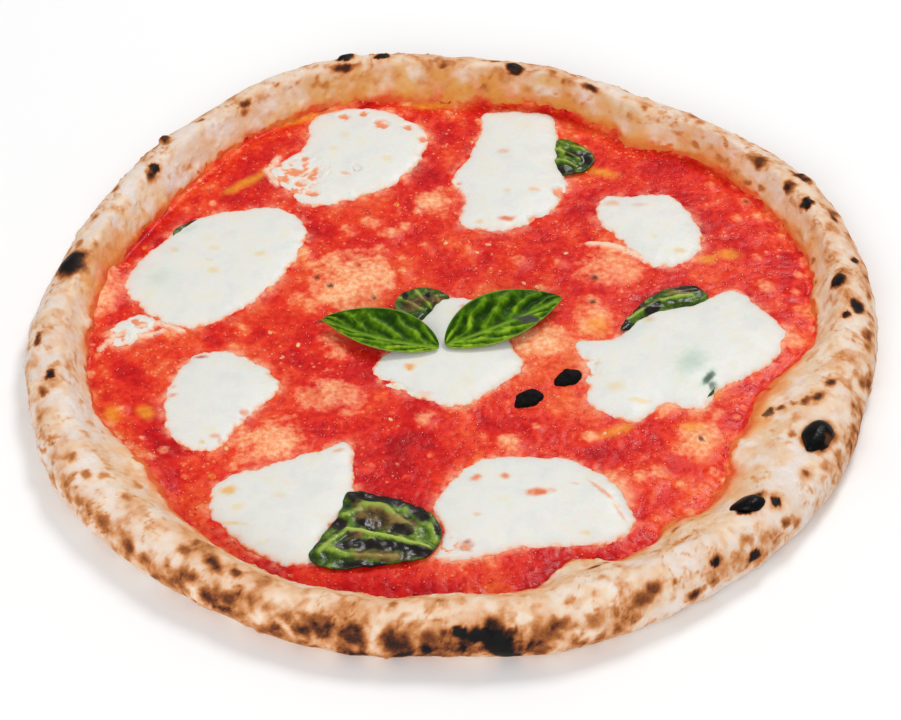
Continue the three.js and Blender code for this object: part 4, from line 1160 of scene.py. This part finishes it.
# Small marks on the cheese, from oil, tomato and browning: x, y, half length, half width, turn, strength, and
# tint, from 0, pale yellow, over 1, orange-red, to 2, brown.
CHEESE_MARKS = [
    (8.6, -74.6, 2.2, 1.5, 20, 0.75, 1), (19.1, -74.1, 1.9, 1.5, 0, 0.75, 1.1),
    (30.9, -82.5, 4.6, 1.8, 4, 0.85, 1.15), (44, -78, 1.6, 0.6, -20, 0.4, 1),
    (4.9, -107.9, 2.4, 2.4, 0, 0.9, 1.7), (47.6, -101.6, 1.8, 1.2, 0, 0.5, 0.3),
    (8.9, -93.4, 1.4, 1, 0, 0.4, 0.8), (54, -82, 7, 0.9, -48, 0.6, 1), (60, -92, 5, 0.8, -62, 0.5, 0.9),
    (-80.8, -81.1, 3, 2.4, 0, 0.8, 0.5), (-78.6, -96.8, 4.5, 0.8, -10, 0.7, 0.25),
    (-77, -89.5, 2.4, 1.4, 20, 0.35, 0.2), (-67.5, -106.4, 3, 0.8, 20, 0.3, 0.2),
    (-62, -84, 2.4, 1.4, 0, 0.25, 0.4), (-41.7, -61, 2.4, 1.2, 20, 0.5, 0.9),
    (21.2, 66.1, 3.2, 1.4, 5, 0.85, 1.2), (32.6, 82.8, 2.4, 1.2, 0, 0.45, 0.7),
    (22, 82, 1.6, 0.8, 0, 0.35, 0.6), (20.5, 106, 2.4, 1.6, 0, 0.35, 1),
    (10.6, 64.3, 1.8, 1.2, 0, 0.45, 0.6), (-42.3, 92.5, 2.2, 1, -20, 0.5, 1),
    (-25.7, 101.7, 2.6, 2.2, 0, 0.35, 0.1), (-43.2, 116, 2, 1.6, 0, 0.3, 0.1),
    (-47.9, 107.8, 1.8, 1.4, 0, 0.3, 0.2), (-92.4, 35.4, 2.2, 1.8, 0, 0.5, 0.2),
    (-108.1, 47.5, 1.8, 1.4, 0, 0.45, 0.4), (-74.6, 45.1, 2.2, 1.6, 30, 0.45, 0.2),
    (-92.6, 48, 2, 1.4, 0, 0.35, 0.2), (-94, 41, 1.6, 1, 0, 0.3, 0.3),
    (-94.4, -11.6, 2.6, 1.2, 0, 0.8, 1.5), (-76.5, -41, 2, 1.4, 0, 0.75, 1.2),
    (-77, -44.5, 1.4, 0.9, 0, 0.6, 1.2), (-87, -53.5, 2, 1.2, 0, 0.6, 0.9),
    (-91.5, -56.6, 1.2, 1, 0, 0.7, 0.4), (-104, -32, 1.6, 1.2, 0, 0.6, 1.1),
    (-104, -27.4, 1.2, 1, 0, 0.5, 1), (-68.1, -20.4, 2, 1.8, 0, 0.55, 0.8),
    (-85, -55.8, 1, 2.4, 10, 0.5, 1.3), (88.7, 47, 2.2, 1.4, 0, 0.5, 0.5), (63.5, 75.4, 3, 2, 0, 0.45, 0.9),
    (74.2, 74, 4, 1.2, 0, 0.25, 1), (79.3, 55, 1.6, 1.2, 0, 0.25, 0.2), (74.9, 9, 2.2, 1.6, 0, 0.5, 0.6),
    (61, -28.3, 3.2, 2.4, 0, 0.4, 0.2), (70, -35.5, 4, 1.3, -10, 0.55, 0.25),
    (55, -15, 1.6, 1, 0, 0.4, 0.4), (-15.8, -17.7, 2, 1.9, 0, 0.85, 0.7), (5, 15.5, 2, 1.6, 0, 0.6, 1.1),
    (-21.3, -27, 2.4, 1.2, -30, 0.4, 0.6), (-10, -31, 2.6, 1.4, 0, 0.35, 0.8),
]
# Where basil under the cheese tints it: x, y, half length, half width, turn, strength.
CHEESE_GREENS = [
    (-113, 31, 9, 8, 30, 0.5), (-103, 60, 7, 3.5, 25, 0.5), (90, -15, 13, 9, 55, 0.62),
    (44, 112, 5, 6, 0, 0.4), (72, 6, 10, 5, 40, 0.4), (-8, 15, 5, 6, 0, 0.4), (-47, -104, 5, 6, 0, 0.4),
    (95.8, -23.5, 7, 2.8, 60, 1), (97.2, -27, 4.5, 3, 90, 0.95),
]


def flat_points(plan):
    """Points of a plan, at the height 0."""
    return np.column_stack([plan, np.zeros(len(plan))])


def swells(x, y, size):
    """Soft swells and hollows between -1 and 1, a few times this size apart."""
    crossing = np.sin(x / size + 1.3) * np.sin(y / size + 0.4) * 0.6
    return crossing + np.sin((x - y) / (1.7 * size)) * 0.4


# Melted curd: nearly white and a little translucent, with a soft fatty gloss and faint tints.
cheese_material, tree, place, mask = start_material("melted_mozzarella", "thin", "mark", "tint", "green")
cloud = add(tree, "TexNoise", {"Vector": place, "Scale": 110, "Detail": 3, "Roughness": 0.55})
colour = add(
    tree, "ValToRGB", [cloud],
    stops=[(0.3, "#DCDDD8"), (0.5, "#E2E2DC"), (0.64, "#E3E1D6"), (0.8, "#E3DCC4")],
)
greens = add(
    tree, "ValToRGB", [mask["green"]],
    stops=[(0.3, "#D6DFD4"), (0.6, "#B9CCBC"), (0.85, "#5F7F66"), (1, "#1C3A22")],
)
green_here = add(tree, "Math", [mask["green"], 1.2], operation="MULTIPLY", use_clamp=True)
tints = add(
    tree, "ValToRGB", [mask["tint"]],
    stops=[(0, "#E3D38C"), (0.25, "#E8B464"), (0.5, "#E9783C"), (0.75, "#AC4A1C"), (1, "#5A2A1C")],
)
thinned = add(
    tree, "ValToRGB", [mask["thin"]],
    stops=[(0.2, "#E6DED6"), (0.45, "#F0CDB8"), (0.75, "#F2A47C"), (1, "#E66A38")],
)
thin_here = add(tree, "Math", [mask["thin"], 1.25], operation="MULTIPLY", use_clamp=True)
for share, coat in ((green_here, greens), (mask["mark"], tints), (thin_here, thinned)):
    colour = add(tree, "Mix", {0: share, 6: colour, 7: coat}, data_type="RGBA")
fatty = add(tree, "MapRange", [cloud, 0.35, 0.65, 0.34, 0.5])
curds = add(tree, "TexNoise", {"Vector": place, "Scale": 380, "Detail": 2})
dimples = add(tree, "Bump", {"Height": curds, "Distance": 0.0004, "Strength": 0.25})
finish_material(tree, {
    "Base Color": colour, "Roughness": fatty, "Normal": dimples, "Specular IOR Level": 0.24,
    "Subsurface Weight": 0.25, "Subsurface Scale": 0.002,
})

for name, outline in cheese_outlines.items():
    middle = outline.mean(0)
    away = outline - middle
    distance = np.hypot(*away.T)
    ragged = layered(flat_points(outline), CHEESE_RAGS)
    push = away / distance[:, None] * (ragged + CHEESE_OUTWARDS)[:, None]
    edge = outline + push
    rings = [middle + away * share + push * share ** 12 for share in CHEESE_SHARES]
    shares = np.repeat(CHEESE_SHARES, CHEESE_ROUND)
    plan = flat_points(np.concatenate(rings))
    x, y = plan[:, 0], plan[:, 1]
    inwards = np.full(len(plan), 99.0)
    for ex, ey in edge:
        inwards = np.minimum(inwards, np.hypot(x - ex, y - ey))
    lift = CHEESE_FOOT + CHEESE_LIP * (1 - np.exp(-inwards / LIP_WIDTH))
    lift = lift + CHEESE_CROWN * (1 - np.exp(-inwards / CROWN_WIDTH))
    lift = lift + CHEESE_WAVE_HEIGHT * swells(x, y, CHEESE_WAVE_SIZE) * (1 - shares)
    lift = lift + CHEESE_LUMP_HEIGHT * grain(plan, 9, 43, 2) * soft_step(inwards, 0, 4)
    laced = grain(plan, 2.7, 46, 3)
    hole = cover(CHEESE_HOLES, x, y, 0.4 * grain(plan, 2.4, 44, 2), 1.4, 0.5)
    lace = cover(CHEESE_LACE, x, y, 0.2 * laced, 1.2, 0.7)
    lift = CHEESE_FOOT + (lift - CHEESE_FOOT) * (1 - 0.45 * lace) * (1 - 0.6 * hole)
    fringe = np.exp(-inwards / FRINGE_WIDTH) * (0.95 + 0.5 * laced)
    thin = np.maximum(fringe, 0.85 * hole)
    thin = np.clip(np.maximum(thin, 0.85 * lace * soft_step(laced, -0.1, 0.45)), 0, 1)
    mark, tint = np.zeros(len(plan)), np.zeros(len(plan))
    blur = grain(plan, 2.2, 45, 2)
    for mark_oval in CHEESE_MARKS:
        core = soft_step(oval_reach(mark_oval, x, y) + 0.25 * blur, 1.6, 0.3)
        strength = np.minimum(1, 1.15 * mark_oval[5] * core)
        tint = np.where(strength > mark, mark_oval[6] / 2 * (0.6 + 0.4 * core), tint)
        mark = np.maximum(mark, strength)
    green = cover(CHEESE_GREENS, x, y, 0.12 * blur, 1.4, 0.1, [oval[5] for oval in CHEESE_GREENS])
    plan[:, 2] = sauce_top(x, y) + lift
    top_rings = np.split(plan, len(CHEESE_SHARES))[::-1]
    peak = top_rings[-1].mean(0)[None]
    under = [on_surface(sauce_top, *middle, -CHEESE_UNDER_DEPTH)]
    for share in CHEESE_UNDER_SHARES:
        ring = middle + (edge[::2] - middle) * share
        under.append(on_surface(sauce_top, *ring.T, -CHEESE_UNDER_DEPTH))
    points, faces = skin([*under, *top_rings, peak])
    spare = sum(len(ring) for ring in under)
    masks = {}
    for mask, values in (("thin", thin), ("mark", mark), ("tint", tint), ("green", green)):
        turned = np.concatenate(np.split(values, len(CHEESE_SHARES))[::-1])
        masks[mask] = np.concatenate([np.zeros(spare), turned, turned[-1:]])
    mesh = make_mesh(f"curd_{name}", points, faces, cheese_material, masks)
    place_piece(f"curd_{name}", mesh, "mozzarella", f"mozzarella_{name}")

# ------------------------------------------------------------------ baked basil
# Sweet basil leaves that went into the oven: shrunk and crumpled, dark and glossy with oil, charred along the
# folds and bright green where cheese or a fold shaded them. Most of them run in under the cheese.

LEAF_THICKNESS = 0.6
LEAF_LIFT = 0.7
FOLD_SIZE = 2.7
# Noise of the leaf's edge and of its blade: strength, size, seed, octaves.
CRIMPS = [(0.35, 3.2, 51), (0.2, 1.4, 52)]
CRUMPLES = [(0.26, 4.2, 53, 2), (0.03, 1.2, 54)]
RIDGE_LIFT = 0.8
BURIED, LEAST_BURIED = 1.6, {"near": 0, "left": 0.5, "tip": 0.5}  # how deep a leaf dips under the cheese
BAKED_ROUND = 200
BAKED_SHARES = np.linspace(0.04, 1, 24)
BAKED_BASIL = {
    "middle": (0.9, [(-22, 17), (-19, 23), (-12, 26), (-3, 23), (0, 18), (-5, 12), (-12, 8), (-18, 10)]),
    "far": (1.2, [(38, 112), (46, 114), (53, 109), (57, 102), (53, 95), (45, 93), (38, 95), (37, 104)]),
    "right": (1, [(64, 3), (68, 11), (75, 20), (84, 26), (95, 26), (98, 19), (88, 13), (76, 7)]),
    "near": (1.6, [
        (-37.5, -82), (-26, -84), (-14, -88), (-6, -95), (-4, -105), (-9, -113), (-25, -117),
        (-44, -118.4), (-50.6, -113.4), (-46, -103), (-40.5, -93),
    ]),
    "left": (0.3, [(-109.5, 57.5), (-105.4, 62.8), (-98, 66.6), (-93, 64.5), (-97, 58), (-103, 55)]),
    "tip": (0.3, [(90, -22), (97, -22), (98, -28), (95, -33), (91, -31)]),
}
# Ribs and folds that stand up: from x, y to x, y, half width, height, and paleness.
BAKED_RIDGES = [
    (-37.4, -100.6, -22, -104.2, 1.1, 1.3, 0.9), (-22, -104.2, -8, -109.5, 1.1, 1.3, 0.9),
    (-47, -111, -37.4, -100.6, 1.2, 0.9, 0.5), (-34, -87, -24, -90, 1.6, 1.5, 0.2),
    (-24, -90, -14, -101, 1.5, 1.6, 0.3), (-14, -101, -12, -107, 1.4, 1.2, 0.2),
    (-44, -110, -36, -113, 1.4, 1, 0.3), (-36, -113, -20, -113.5, 1.3, 1, 0.2),
    (-8, -98, -5.5, -106, 1.5, 1, 0.2), (-39, -94, -33, -90, 1.3, 0.9, 0.3), (40, 110, 51, 101, 1, 1, 0.4),
    (40, 103, 50, 97, 1, 0.8, 0.3), (44, 112, 53, 107, 1, 0.6, 0.1), (-20, 20, -12, 14, 0.9, 0.9, 0.2),
    (-14, 24, -8, 15, 0.9, 0.8, 0.25), (-6, 21, -3, 15, 0.8, 0.7, 0.15), (66, 8, 78, 18, 1.1, 0.9, 0.4),
    (78, 18, 92, 22, 1.1, 0.8, 0.5), (82, 22, 94, 25, 0.9, 0.6, 0.2),
]
# Charred places: x, y, half length, half width, turn.
BAKED_CHARS = [
    (-27, -85.5, 13, 3, -9), (-12, -91.5, 6, 3, -48), (-17, -101, 5.5, 2.2, -25),
    (-40.5, -98, 2.8, 3.6, 20), (-35, -107.5, 6, 2.4, 8), (-25, -108, 8, 2.4, -8),
    (-13, -110.5, 7, 2.2, -8), (-7.5, -112, 3, 1.6, 20), (-5.5, -100, 1.2, 4, 10),
    (-27, -117.5, 14, 1.6, -4), (-31, -98, 3, 1.6, -30), (48, 104, 3.4, 1.8, -30), (54, 102, 2.4, 4, 20),
    (44, 95, 5, 1.4, -10), (-9, 22, 1.8, 1, 30), (-18, 21, 1.2, 2.4, 0), (-100, 66, 5, 1.6, 20),
    (77, 15.5, 4, 2.6, 35), (66, 5, 2.6, 4, 40), (91, 25, 5, 2, 0), (70, 15, 5, 1.6, 45),
    (94, -27, 2, 4, 0),
]
# Places that went brown and dull instead: x, y, half length, half width, turn.
BAKED_BROWNS = [
    (-26, -95, 9, 5, -25), (-18, -98, 6, 4, -35), (-25, -113, 11, 2.8, -4), (-34, -103, 4, 2, 20),
    (-14, 17, 6, 3, 40), (-7, 19, 4, 3, 0), (88, 24, 5, 2.6, 0),
]

# Leaf skin boiled dry in oil: green to brown to black, glossy, with fine wrinkles between its veins, and
# painted light that makes it lighter where ribs and crumples stand up.
baked_leaf_material, tree, place, mask = start_material("oven_basil_leaf", "char", "brown", "rib", "high")
cloud = add(tree, "TexNoise", {"Vector": place, "Scale": 260, "Detail": 5, "Roughness": 0.6})
# Painted light: the tone is lighter where the leaf stands high, on its ribs and crumples.
tone = add(tree, "Math", [mask["high"], 0.3, cloud], operation="MULTIPLY_ADD")
colour = add(
    tree, "ValToRGB", [tone],
    stops=[(0.3, "#18260A"), (0.48, "#32490A"), (0.64, "#587618"), (0.85, "#8CA63C")],
)
browned = add(tree, "ValToRGB", [tone], stops=[(0.35, "#302210"), (0.55, "#5E4720"), (0.8, "#8A7040")])
charred = add(tree, "ValToRGB", [cloud], stops=[(0.35, "#110B09"), (0.6, "#1F1613"), (0.8, "#402E28")])
for share, coat in ((mask["brown"], browned), (mask["rib"], "#A9BC55"), (mask["char"], charred)):
    colour = add(tree, "Mix", {0: share, 6: colour, 7: coat}, data_type="RGBA")
oily = add(tree, "MapRange", [cloud, 0.35, 0.65, 0.16, 0.36])
creases = add(tree, "Bump", {"Height": cloud, "Distance": 0.0006, "Strength": 0.35})
finish_material(tree, {
    "Base Color": colour, "Roughness": oily, "Normal": creases, "Specular IOR Level": 0.26,
})

for name, (wrinkle, corners) in BAKED_BASIL.items():
    outline = smooth_outline(corners, BAKED_ROUND)
    middle = outline.mean(0)
    away = outline - middle
    crimp = layered(flat_points(outline), CRIMPS)
    edge = outline + away / np.hypot(*away.T)[:, None] * crimp[:, None]
    shares = np.repeat(BAKED_SHARES, BAKED_ROUND)
    plan = flat_points(np.concatenate([middle + (edge - middle) * share for share in BAKED_SHARES]))
    x, y = plan[:, 0], plan[:, 1]
    fold = wrinkle * (0.5 + 0.5 * swells(x, y, FOLD_SIZE)) * (1 - 0.6 * shares)
    crumple = wrinkle * layered(plan, CRUMPLES)
    rib, ridge_height, covered = np.zeros((3, len(plan)))
    for *ends, wide, tall, pale in BAKED_RIDGES:
        reach = line_distance(ends, x, y) / wide
        ridge_height = np.maximum(ridge_height, tall * np.exp(-reach ** 2))
        rib = np.maximum(rib, pale * soft_step(reach, 0.9, 0.25))
    patchy = grain(plan, 4.2, 55, 2)
    char = cover(BAKED_CHARS, x, y, 0.22 * patchy, 1.15, 0.85)
    brown = cover(BAKED_BROWNS, x, y, 0.3 * patchy, 1.25, 0.7)
    for cheese in cheese_outlines.values():
        share, far = star_share(cheese, x, y)
        covered = np.maximum(covered, soft_step((1 - share) * far, -1.0, 3.0))
    base = sauce_top(x, y) + LEAF_LIFT - LEAST_BURIED.get(name, BURIED) * covered
    plan[:, 2] = base + fold * (1 - 0.5 * covered) + crumple + RIDGE_LIFT * ridge_height
    # The high mask is painted light: the leaf's height over its ribs and crumples, which lightens its colour.
    masks = {"char": char * (1 - 0.8 * rib), "brown": brown, "rib": rib, "high": ridge_height + crumple}
    over = plan + [0, 0, LEAF_THICKNESS]
    upper = np.split(over, len(BAKED_SHARES))[::-1]
    lower = [ring[::2] for ring in np.split(plan, len(BAKED_SHARES))]
    points, faces = skin([lower[0].mean(0)[None], *lower, *upper, upper[-1].mean(0)[None]])
    for mask, values in masks.items():
        halves = [part[::2] for part in np.split(values, len(BAKED_SHARES))]
        wholes = np.split(values, len(BAKED_SHARES))[::-1]
        masks[mask] = np.concatenate([values[:1], *halves, *wholes, values[:1]])
    mesh = make_mesh(f"oven_basil_{name}", points, faces, baked_leaf_material, masks)
    place_piece(f"oven_basil_{name}", mesh, "basil_baked", f"basil_baked_{name}")

# ------------------------------------------------------------------ fresh basil
# Two leaves put on after baking: a firm arched blade with a sunken midrib, quilted between its side veins,
# with a satin upper face and a painted highlight along its edge.

# Base, tip, the midrib's bow, and how far either half reaches and rises: the far one and the near one.
FRESH_BASIL = {
    "left": ((-5, -9.2, 8.8), (-49.3, 5.3, 9.8), -4, (11.5, 5), (4.5, -1)),
    "right": ((-2.5, -8, 8.8), (42, 17.2, 9.8), -2.4, (12.6, 5.5), (7, -1.2)),
}
VEIN_COUNT = 4.5
VEIN_SLANT = 1.9
SWELL_HEIGHT = 0.55  # of the blade between its side veins
QUILTING = [(0.26, 3.2, 61, 3), (0.08, 1.2, 62)]  # strength, size, seed, octaves
VEIN_HEIGHT = 0.25
MIDRIB_DEPTH, MIDRIB_HALF_WIDTH = 0.35, 0.55
LEAF_ARCH = 1.5
BRUISE = (28.5, 4.6, 5.5, 1.8, 0)  # on the right leaf: x, y, half length, half width, turn
LEAF_STEPS, LEAF_SIDES = 150, 81

# Living leaf skin: a satin wax over green tissue, lighter along the veins, with painted shade in the hollows
# and painted light on the swells and the near half.
fresh_leaf_material, tree, place, mask = start_material(
    "fresh_basil_leaf", "vein", "hollow", "margin", "bruise"
)
cloud = add(tree, "TexNoise", {"Vector": place, "Scale": 320, "Detail": 4, "Roughness": 0.6})
# Painted light and shade: the tone is lighter on the swells between the veins and on the near half, and
# darker in the hollows.
tone = add(tree, "Math", [cloud, 0.3, mask["hollow"]], operation="MULTIPLY_ADD")
colour = add(
    tree, "ValToRGB", [tone],
    stops=[(0.1, "#142C02"), (0.38, "#264802"), (0.62, "#446C04"), (0.84, "#6F9810"), (1, "#94B82E")],
)
# Paler veins, a grey bruise, and a painted highlight along the edge.
for share, coat in ((mask["vein"], "#86AC34"), (mask["margin"], "#B4BF62"), (mask["bruise"], "#4B4A48")):
    colour = add(tree, "Mix", {0: share, 6: colour, 7: coat}, data_type="RGBA")
pebbles = add(tree, "Bump", {"Height": cloud, "Distance": 0.0005, "Strength": 0.3})
finish_material(tree, {
    "Base Color": colour, "Roughness": 0.38, "Normal": pebbles, "Specular IOR Level": 0.07,
    "Subsurface Weight": 0.1, "Subsurface Scale": 0.001,
})

for name, (root, tip, bow, far, near) in FRESH_BASIL.items():
    t = np.linspace(0, 1, LEAF_STEPS + 1)[1:-1, None]
    side = np.linspace(-1, 1, LEAF_SIDES)[None, :]
    dx, dy = tip[0] - root[0], tip[1] - root[1]
    length = math.hypot(dx, dy)
    normal = np.array([-dy, dx]) / length * math.copysign(1, dx)
    width = np.sin(np.pi * t ** 0.82) ** 0.75
    out = np.abs(side) * width
    reach = np.where(side > 0, far[0], near[0])
    rise = np.where(side > 0, far[1], near[1])
    sideways = np.sign(side) * reach * out + bow * np.sin(np.pi * t)
    x = root[0] + dx * t + normal[0] * sideways
    y = root[1] + dy * t + normal[1] * sideways
    flat = np.stack([x, y, 0 * x], -1).reshape(-1, 3)
    phase = VEIN_COUNT * t - VEIN_SLANT * np.abs(side) + 0.24 * grain(flat, 8, 63, 2).reshape(x.shape)
    strong = 0.75 + 0.5 * grain(flat, 7, 64).reshape(x.shape)
    swell = np.sin(np.pi * np.abs(side)) * width
    crest = np.sin(2 * np.pi * phase)
    relief = SWELL_HEIGHT * strong * crest * swell
    vein = soft_step(np.cos(2 * np.pi * (phase - 0.25)), 0.86, 1) * soft_step(np.abs(side), 0.0, 0.2)
    vein = vein * soft_step(np.abs(side), 0.98, 0.6)
    midrib = np.exp(-(np.abs(side) * reach * width / MIDRIB_HALF_WIDTH) ** 2)
    z = root[2] + (tip[2] - root[2]) * t + rise * out ** 1.15 + LEAF_ARCH * np.sin(np.pi * t) + relief
    quilt = layered(flat, QUILTING).reshape(x.shape)
    z = z + quilt * swell + VEIN_HEIGHT * vein - MIDRIB_DEPTH * midrib
    half = np.array([0, 0, LEAF_THICKNESS / 2])
    rows = [np.concatenate([row - half, (row + half)[::-1]]) for row in np.stack([x, y, z], -1)]
    if dx < 0:
        rows = [row[::-1] for row in rows]
    points, faces = skin([np.array([root]), *rows, np.array([tip])])
    # A painted highlight along the leaf's edge.
    margin = soft_step(np.abs(side) + 0 * t, 0.955, 0.995)
    bruise = 0 * x
    if name == "right":
        bruise = soft_step(oval_reach(BRUISE, x, y) + 0.4 * quilt, 1.2, 0.6)
    # Painted light and shade: lighter on the swells between the veins, on the near half and towards the base,
    # darker in the hollows.
    ridge = crest * np.sin(np.pi * np.abs(side)) ** 0.7 * (0.6 + 0.4 * np.cos(0.5 * np.pi * t))
    hollow = 0.3 + 0.36 * strong * ridge + 0.7 * quilt + 0.2 * (side < 0) + 0.12 * (1 - t) ** 2
    hollow = np.clip(hollow, 0, 1)
    masks = {}
    for mask, values in (
        ("vein", np.maximum(0.3 * vein, 0.7 * midrib)), ("hollow", hollow), ("margin", 0.45 * margin),
        ("bruise", bruise),
    ):
        both = np.concatenate([values, values[:, ::-1]], axis=1)
        if dx < 0:
            both = both[:, ::-1]
        masks[mask] = np.concatenate([[0.4], both.ravel(), [0.4]])
    mesh = make_mesh(f"basil_blade_{name}", points, faces, fresh_leaf_material, masks)
    place_piece(f"basil_blade_{name}", mesh, "basil_fresh", f"basil_fresh_{name}")
